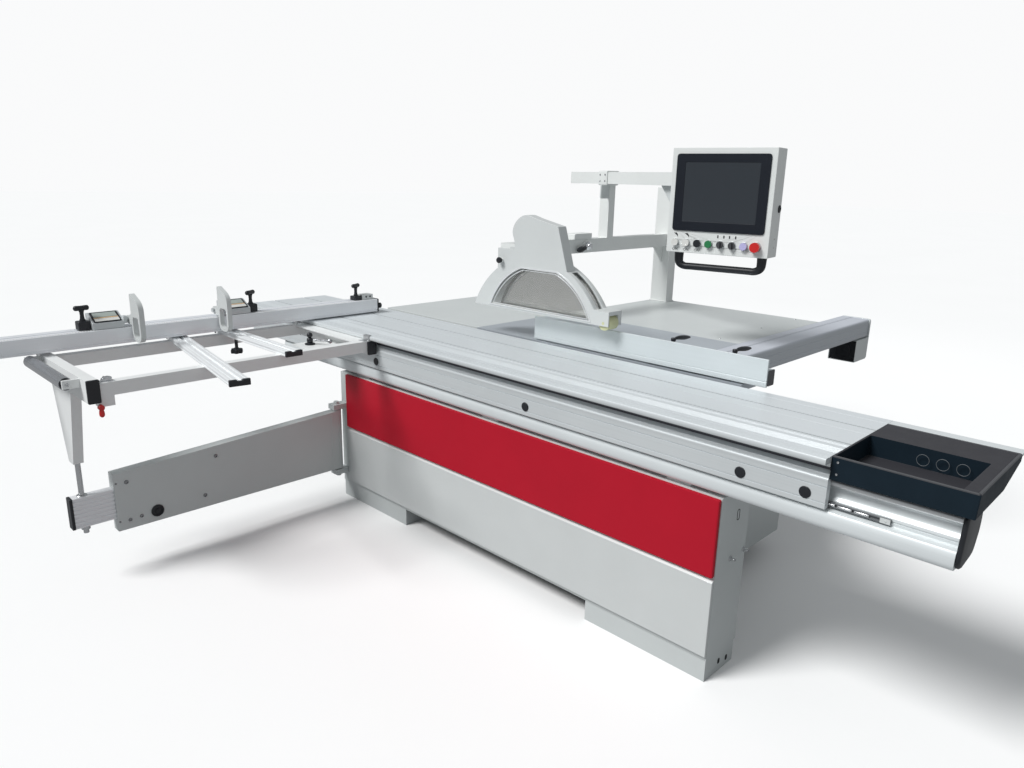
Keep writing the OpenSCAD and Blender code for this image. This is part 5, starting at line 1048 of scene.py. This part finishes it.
class SAW_OT_guard(bpy.types.Operator):
    """Guard hood's window beads, smooth fin and hinge knob, and the clamp lever of its arm"""

    bl_idname = "saw.guard"
    bl_label = "Guard"

    def execute(self, context):
        x0, x1 = -45.0, 40.0
        low, high = 1008.0, 1191.0
        centre = np.array([22.0, 893.6])
        beads = []
        for x, out in ((x0, -1), (x1, 1)):
            beads.append(ring_plate(moon(316, centre, low - 1, high + 1),
                                    moon(309, centre, low + 5, high - 5), "x", x + out * 2.2, x - out * 2))
            beads.append(ring_plate(moon(302, centre, low + 9, high - 10),
                                    moon(298, centre, low + 12, high - 13), "x", x - out * 2.4,
                                    x - out * 3.4))
        build("Window_beads", beads, "bright trim", "hood", bevel=0.5)
        # Fin: the spout's outline with a smooth back, a cubic through the corners of the sheet
        back = bend([(0, 166, 1255), (0, 168, 1295), (0, 181, 1340), (0, 160, 1384), (0, 109, 1412),
                     (0, 40, 1398.5), (0, -79, 1374)])
        fin = np.concatenate([[(-120, 1245), (166, 1245)], back[:, 1:]])
        build("Hood_fin", along(fin, "x", x0 - 0.05, 5.05), "white paint", "hood", bevel=1.5)
        knob = turned([(0.3, 0), (9, 0), (9, 4), (12, 6), (13, 9), (13, 16), (11, 19), (0.3, 20)],
                      (x0 - 5.5, 243, 1212), LEFT, 28)
        build("Hinge_knob", knob, "black plastic", "base", smooth=45)
        # Clamp lever: a round hub with a neck, and a grip that swells to its end
        y1 = place("hood_lever")[1][1]
        x, z = place("hood_lever")[1][0] - 22, 1232.0
        hub = turned([(0.3, 0), (20, 0), (22, 2), (22, 8), (15, 12), (15, 18), (12, 21), (0.3, 21.5)],
                     (x, y1, z), FRONT)
        c, s = math.cos(math.radians(12)), math.sin(math.radians(12))
        path = [(x - reach * c, middle("hood_lever")[1], z - reach * s) for reach in (0, 30, 60, 95)]
        build("Guard_lever", tube(path[1:], [9, 11.5, 14, 15, 13, 6]), "black plastic", "hood_lever",
              instead="hood_lever", smooth=50)
        build("Guard_lever_hub", [hub, tube(path[:2], [6.5, 6.5])], "chrome", "hood_lever", smooth=50)
        bracket = at(668, 0, [(-78, 1267), (-78, 1292), (-70, 1296), (60, 1296), (60, 1267)])
        build("Guard_arm_bracket", along(bracket, "y", 362, 428), "frame white", "base", bevel=2)
        return {"FINISHED"}


class SAW_OT_controls(bpy.types.Operator):
    """Control panel: bezel and dark display, rings and words of the buttons, lock, handle, boom ends"""

    bl_idname = "saw.controls"
    bl_label = "Control panel"

    def execute(self, context):
        on_panel = partial(build, body="panel", stand=PANEL_PLACE)
        on_boom = partial(build, body="boom", stand=BOOM_PLACE)
        x0, x1, z0, z1 = -137.0, 303.0, 1270.0, 1700.0
        front = -146.0
        mid = np.array([(x0 + x1) / 2, (z0 + z1) / 2])
        outer = rounded(rect(x1 - x0 - 44, z1 - z0 - 116) + mid + (0, 34), 14, 6)
        inner = rounded(rect(x1 - x0 - 124, z1 - z0 - 190) + mid + (0, 37), 5, 6)
        on_panel("Screen_bezel", ring_plate(outer, inner, "y", front - 5, front + 1), "bezel",
                 instead="panel_screen", bevel=1.2)
        on_panel("Screen_glass", along(inner, "y", front - 3.6, front - 0.5), "screen")
        row = 1312.0
        xs = x0 + 40 + 50.0 * np.arange(8)
        rings = [turned_ring(16.5, 1.5, (x, front - 0.6, row), BACK) for x in xs[:-1]]
        rings.append(turned_ring(21, 1.5, (xs[-1], front - 0.6, row), BACK, 36))
        on_panel("Button_rings", rings, "stop aluminium", slot="rod_chrome")
        for k, word in enumerate(("ON", "ON", "OFF")):
            on_panel("Word_%d" % k, self.word("Word_%d" % k, word, xs[k], front - 0.15, row - 34),
                     "black plastic")
        marks = [block((x + d - 2.5, front - 0.7, row + 27), (x + d + 2.5, front + 0.2, row + 39), 2, "y")
                 for x in xs[4:6] for d in (-13, 13)]
        fin = np.array([(-9, 39), (3, 40), (9, 32), (10, 22), (5, 29), (-2, 34)])
        marks += [along(fin + (x, row), "y", front - 0.7, front + 0.2) for x in xs[:2]]
        on_panel("Button_tags", marks, "black plastic")
        lock = turned([(0.3, 0), (15, 0), (15, 3), (12, 5), (6, 5), (5, 2), (0.2, 2)],
                      (x1, front + 84, 1464), RIGHT)
        on_panel("Panel_lock", lock, "black plastic")
        dots = [screw((x, front + 64, z), out, 9) for x, out in ((x0, LEFT), (x1, RIGHT))
                for z in (1345, 1310)]
        on_panel("Panel_screws", dots, "white plastic")
        # Handle: one half of its route, mirrored
        grip = np.array([x0 + 38, x1 - 38])
        y, low = -91.0, z0 - 62
        half = [(0, z0 + 1), (0, z0 - 26), (2, z0 - 44), (11, low + 7), (30, low), (60, low)]
        route = [(grip[0] + d, y, z) for d, z in half] + [(grip.mean(), y, low)]
        route += [(grip[1] - d, y, z) for d, z in reversed(half)]
        radii = [20, 19, 18, 16.5, 15, 15]
        bar = tube(route, radii + [15] + radii[::-1], 20, 5)
        feet = [turned([(0.3, 1), (22, 1), (22, -2), (20, -5), (0.3, -5)], (x, y, z0), UP) for x in grip]
        on_panel("Panel_handle_bar", [bar, *feet], "black plastic", instead="panel_handle", smooth=50)
        centre = (0, 1574)
        on_boom("Boom_end", along(rounded(rect(62, 62) + centre, 5), "x", -345, -339), "frame white",
                bevel=1.5)
        web = [(470, 1545), (600, 1545), (600, 1444), (572, 1444)]
        on_boom("Boom_gusset", along(web, "y", -4, 4), "paint", bevel=1)
        lug = rounded([(792, 1470), (862, 1470), (862, 1538), (792, 1538)], [14, 1, 1, 4], 5)
        build("Post_plate", along(lug, "y", 366, 374), "paint", "base", bevel=1)
        collar = ring_plate(rounded(rect(74, 74), 7) + centre, rounded(rect(60.6, 60.6), 3) + centre, "x",
                            -40, 40)
        on_boom("Boom_sleeve", collar, "frame white", bevel=2)
        heads = [screw((x, -37, z), FRONT, 11) for x in (-24, 24) for z in (1558, 1590)]
        on_boom("Sleeve_screws", heads, "bright steel")
        return {"FINISHED"}

    def word(self, name, text, x, y, z):
        """A raised word as points and faces that face the front."""
        curve = bpy.data.curves.new(name, "FONT")
        curve.body = text
        curve.size = 16.0
        curve.align_x = "CENTER"
        curve.extrude = 0.15
        curve.resolution_u = 2
        holder = bpy.data.objects.new(name + "_curve", curve)
        bpy.context.scene.collection.objects.link(holder)
        bpy.context.view_layer.update()
        mesh = bpy.data.meshes.new_from_object(holder.evaluated_get(bpy.context.evaluated_depsgraph_get()))
        flat = np.zeros(len(mesh.vertices) * 3)
        mesh.vertices.foreach_get("co", flat)
        flat = flat.reshape(-1, 3)
        verts = np.stack([x + flat[:, 0], y - flat[:, 2], z + flat[:, 1]], -1)
        faces = [list(f.vertices) for f in mesh.polygons]
        bpy.data.objects.remove(holder)
        bpy.data.curves.remove(curve)
        bpy.data.meshes.remove(mesh)
        return verts, faces


class SAW_OT_base(bpy.types.Operator):
    """Base: slots and bolts of the near end, service door with vents, hose flange, table screws"""

    bl_idname = "saw.base"
    bl_label = "Base"

    def execute(self, context):
        y = -1133.0
        # The slot and the foot holes are near black: painted shade of the openings
        slot = np.array([-338, 555])
        holes = [ring_plate(rounded(rect(16, 38) + slot, 7.9), rounded(rect(11, 33) + slot, 5.4), "y",
                            y - 0.6, y + 2)]
        holes += [along(rounded(rect(13, 20) + p, 6.4), "y", y + 1.6, y + 4)
                  for p in ((-363, 37), (-313, 27))]
        build("Base_slots", holes, "painted hole shade", "base")
        bolts = [turned([(0.3, 0), (9, 0), (9, 3), (8, 4), (5, 4), (5, 16), (4, 18), (0.3, 18)], (x, y, z),
                        FRONT, 18) for x, z in ((-280, 416), (-364, 412))]
        bolts += [screw((*p, TABLE_TOP), UP, 9) for p in ((700, -440), (700, 420), (1480, -440),
                                                          (1100, -440))]
        build("Base_bolts", bolts, "bright steel", "base")
        # Service door on the right side, with bent vents below it
        x = 600.0
        build("Service_door", block((x - 0.5, -430, 240), (x + 5, 330, 745), 18, "x"), "paint", "base",
              bevel=2)
        t = np.linspace(0, np.pi, 9)
        slat = np.stack([x + 1 + 7 * np.sin(t), 6 * np.cos(t)], -1)
        vent = along(np.concatenate([slat, [(x - 1, -6), (x - 1, 6)]]), "y", -120, 60)
        build("Service_vents", many(vent, [(0, 30, 130 + 18 * k) for k in range(5)]), "paint", "base",
              smooth=40)
        pull = tube([(x + out, 292, z) for out, z in ((4, 540), (24, 535), (30, 500), (30, 440), (24, 405),
                                                      (4, 400))], [7, 7], 16, 6)
        hinges = [turned([(0.3, -32), (8, -32), (8, 32), (0.3, 32)], (x + 6, -428, z), UP, 18)
                  for z in (330, 660)]
        build("Door_fittings", [pull, *hinges], "black plastic", "base", smooth=45)
        hose = np.array([300, 260])
        build("Hose_flange", ring_plate(circle(84, 40) + hose, circle(57, 40) + hose, "y", 429, 437),
              "frame paint", "base", bevel=1)
        heads = [screw((px, 437, pz), BACK, 8) for px, pz in circle(72, 6) + hose]
        build("Hose_screws", heads, "bright steel", "base")
        return {"FINISHED"}


class SAW_OT_stage(bpy.types.Operator):
    """Pale floor, soft lights and the camera"""

    bl_idname = "saw.stage"
    bl_label = "Studio"

    def execute(self, context):
        s = context.scene.saw_studio
        self.floor(context)
        for name, spot_at, size in (("Fill light", (-1.5, -6.5, 3.2), 5.0),
                                    ("Rim light", (5.0, 1.0, 4.5), 4.0)):
            lamp = self.lamp(context, name, "AREA", s.fill, Vector((0, 0, 0.8)) - Vector(spot_at))
            lamp.location = spot_at
            lamp.data.size = size
        sun = self.lamp(context, "Key light", "SUN", s.key, Vector((0.62, -0.25, -0.74)))
        sun.data.angle = math.radians(22)
        # World: an even light, and a paler ground behind the machine
        world = bpy.data.worlds.new("Even light")
        world.use_nodes = True
        tree = world.node_tree
        back = tree.nodes["Background"]
        back.inputs["Color"].default_value = (0.93, 0.97, 1.0, 1)
        back.inputs["Strength"].default_value = s.sky
        pale = add(tree, "ShaderNodeBackground", Strength=1.0)
        pale.inputs["Color"].default_value = (0.955, 0.96, 0.965, 1)
        seen = add(tree, "ShaderNodeLightPath").outputs["Is Camera Ray"]
        both = add(tree, "ShaderNodeMixShader", [(seen, 0), (back.outputs[0], 1), (pale.outputs[0], 2)])
        tree.links.new(both.outputs[0], tree.nodes["World Output"].inputs["Surface"])
        context.scene.world = world
        context.scene.view_settings.view_transform = "Standard"
        # Camera: its aim from yaw and pitch, then rolled about that aim
        yaw, pitch, roll = (math.radians(a) for a in (s.yaw, s.pitch, s.roll))
        ahead = Vector((math.cos(yaw) * math.cos(pitch), math.sin(yaw) * math.cos(pitch), -math.sin(pitch)))
        right = Vector((math.sin(yaw), -math.cos(yaw), 0))
        up = right.cross(ahead)
        right, up = (right * math.cos(roll) + up * math.sin(roll),
                     up * math.cos(roll) - right * math.sin(roll))
        lens = bpy.data.cameras.new("Camera")
        lens.sensor_width = 36
        lens.lens = s.lens
        lens.clip_end = 200
        camera = bpy.data.objects.new("Camera", lens)
        turn = Matrix((right, up, -ahead)).transposed().to_4x4()
        camera.matrix_world = Matrix.Translation(Vector(ZERO + CAMERA_PLACE * MM)) @ turn
        context.scene.collection.objects.link(camera)
        context.scene.camera = camera
        return {"FINISHED"}

    def floor(self, context):
        """A pale floor that looks white to the camera and throws less light back."""
        mat, tree, shader = new_material("studio floor")
        tone = use(tree, "tone", Color=(0.945, 0.945, 0.94, 1), Scale=0.6, Amount=0.015, Roughness=0.7)
        seen = add(tree, "ShaderNodeLightPath").outputs["Is Camera Ray"]
        mix = add(tree, "ShaderNodeMix", [(seen, "Factor"), (tone.outputs["Color"], "B")], data_type="RGBA")
        mix.inputs["A"].default_value = (0.34, 0.345, 0.35, 1)
        tree.links.new(mix.outputs["Result"], shader.inputs["Base Color"])
        shader.inputs["Specular IOR Level"].default_value = 0.0
        tree.links.new(tone.outputs["Roughness"], shader.inputs["Roughness"])
        u, v = np.meshgrid(np.linspace(-60, 60, 7), np.linspace(-60, 60, 7), indexing="ij")
        points = np.stack([u, v, 0 * u - 0.0005], -1).reshape(-1, 3)
        mesh = bpy.data.meshes.new("Studio_floor")
        mesh.from_pydata(points.tolist(), [], grid(7, 7).tolist())
        mesh.materials.append(mat)
        floor = bpy.data.objects.new("Studio_floor", mesh)
        context.scene.collection.objects.link(floor)

    def lamp(self, context, name, kind, power, aim):
        """A light that shines along its aim."""
        light = bpy.data.lights.new(name, kind)
        light.energy = power
        obj = bpy.data.objects.new(name, light)
        obj.rotation_euler = aim.to_track_quat("-Z", "Y").to_euler()
        context.scene.collection.objects.link(obj)
        return obj


class SAW_PT_panel(bpy.types.Panel):
    """Lists the pieces in the sidebar"""

    bl_label = "Table Saw"
    bl_idname = "SAW_PT_panel"
    bl_space_type = "VIEW_3D"
    bl_region_type = "UI"
    bl_category = "Table Saw"

    def draw(self, context):
        for group in SETTINGS:
            settings = getattr(context.scene, group)
            for key in settings.__annotations__:
                self.layout.prop(settings, key)
        for operator in OPERATORS:
            self.layout.operator(operator.bl_idname)


SETTINGS = {"saw_finishes": SAW_PG_finishes, "saw_trim": SAW_PG_trim, "saw_studio": SAW_PG_studio}
OPERATORS = (SAW_OT_finishes, SAW_OT_base, SAW_OT_rail, SAW_OT_carriage, SAW_OT_tray, SAW_OT_outrigger,
             SAW_OT_fence, SAW_OT_arm, SAW_OT_rip, SAW_OT_guard, SAW_OT_controls, SAW_OT_stage)
CLASSES = (*SETTINGS.values(), *OPERATORS, SAW_PT_panel)


def register():
    for cls in CLASSES:
        bpy.utils.register_class(cls)
    for name, group in SETTINGS.items():
        setattr(bpy.types.Scene, name, PointerProperty(type=group))


def unregister():
    for name in SETTINGS:
        delattr(bpy.types.Scene, name)
    for cls in reversed(CLASSES):
        bpy.utils.unregister_class(cls)


def main():
    register()
    for operator in OPERATORS:
        family, action = operator.bl_idname.split(".")
        getattr(getattr(bpy.ops, family), action)()


if __name__ == "__main__":
    main()
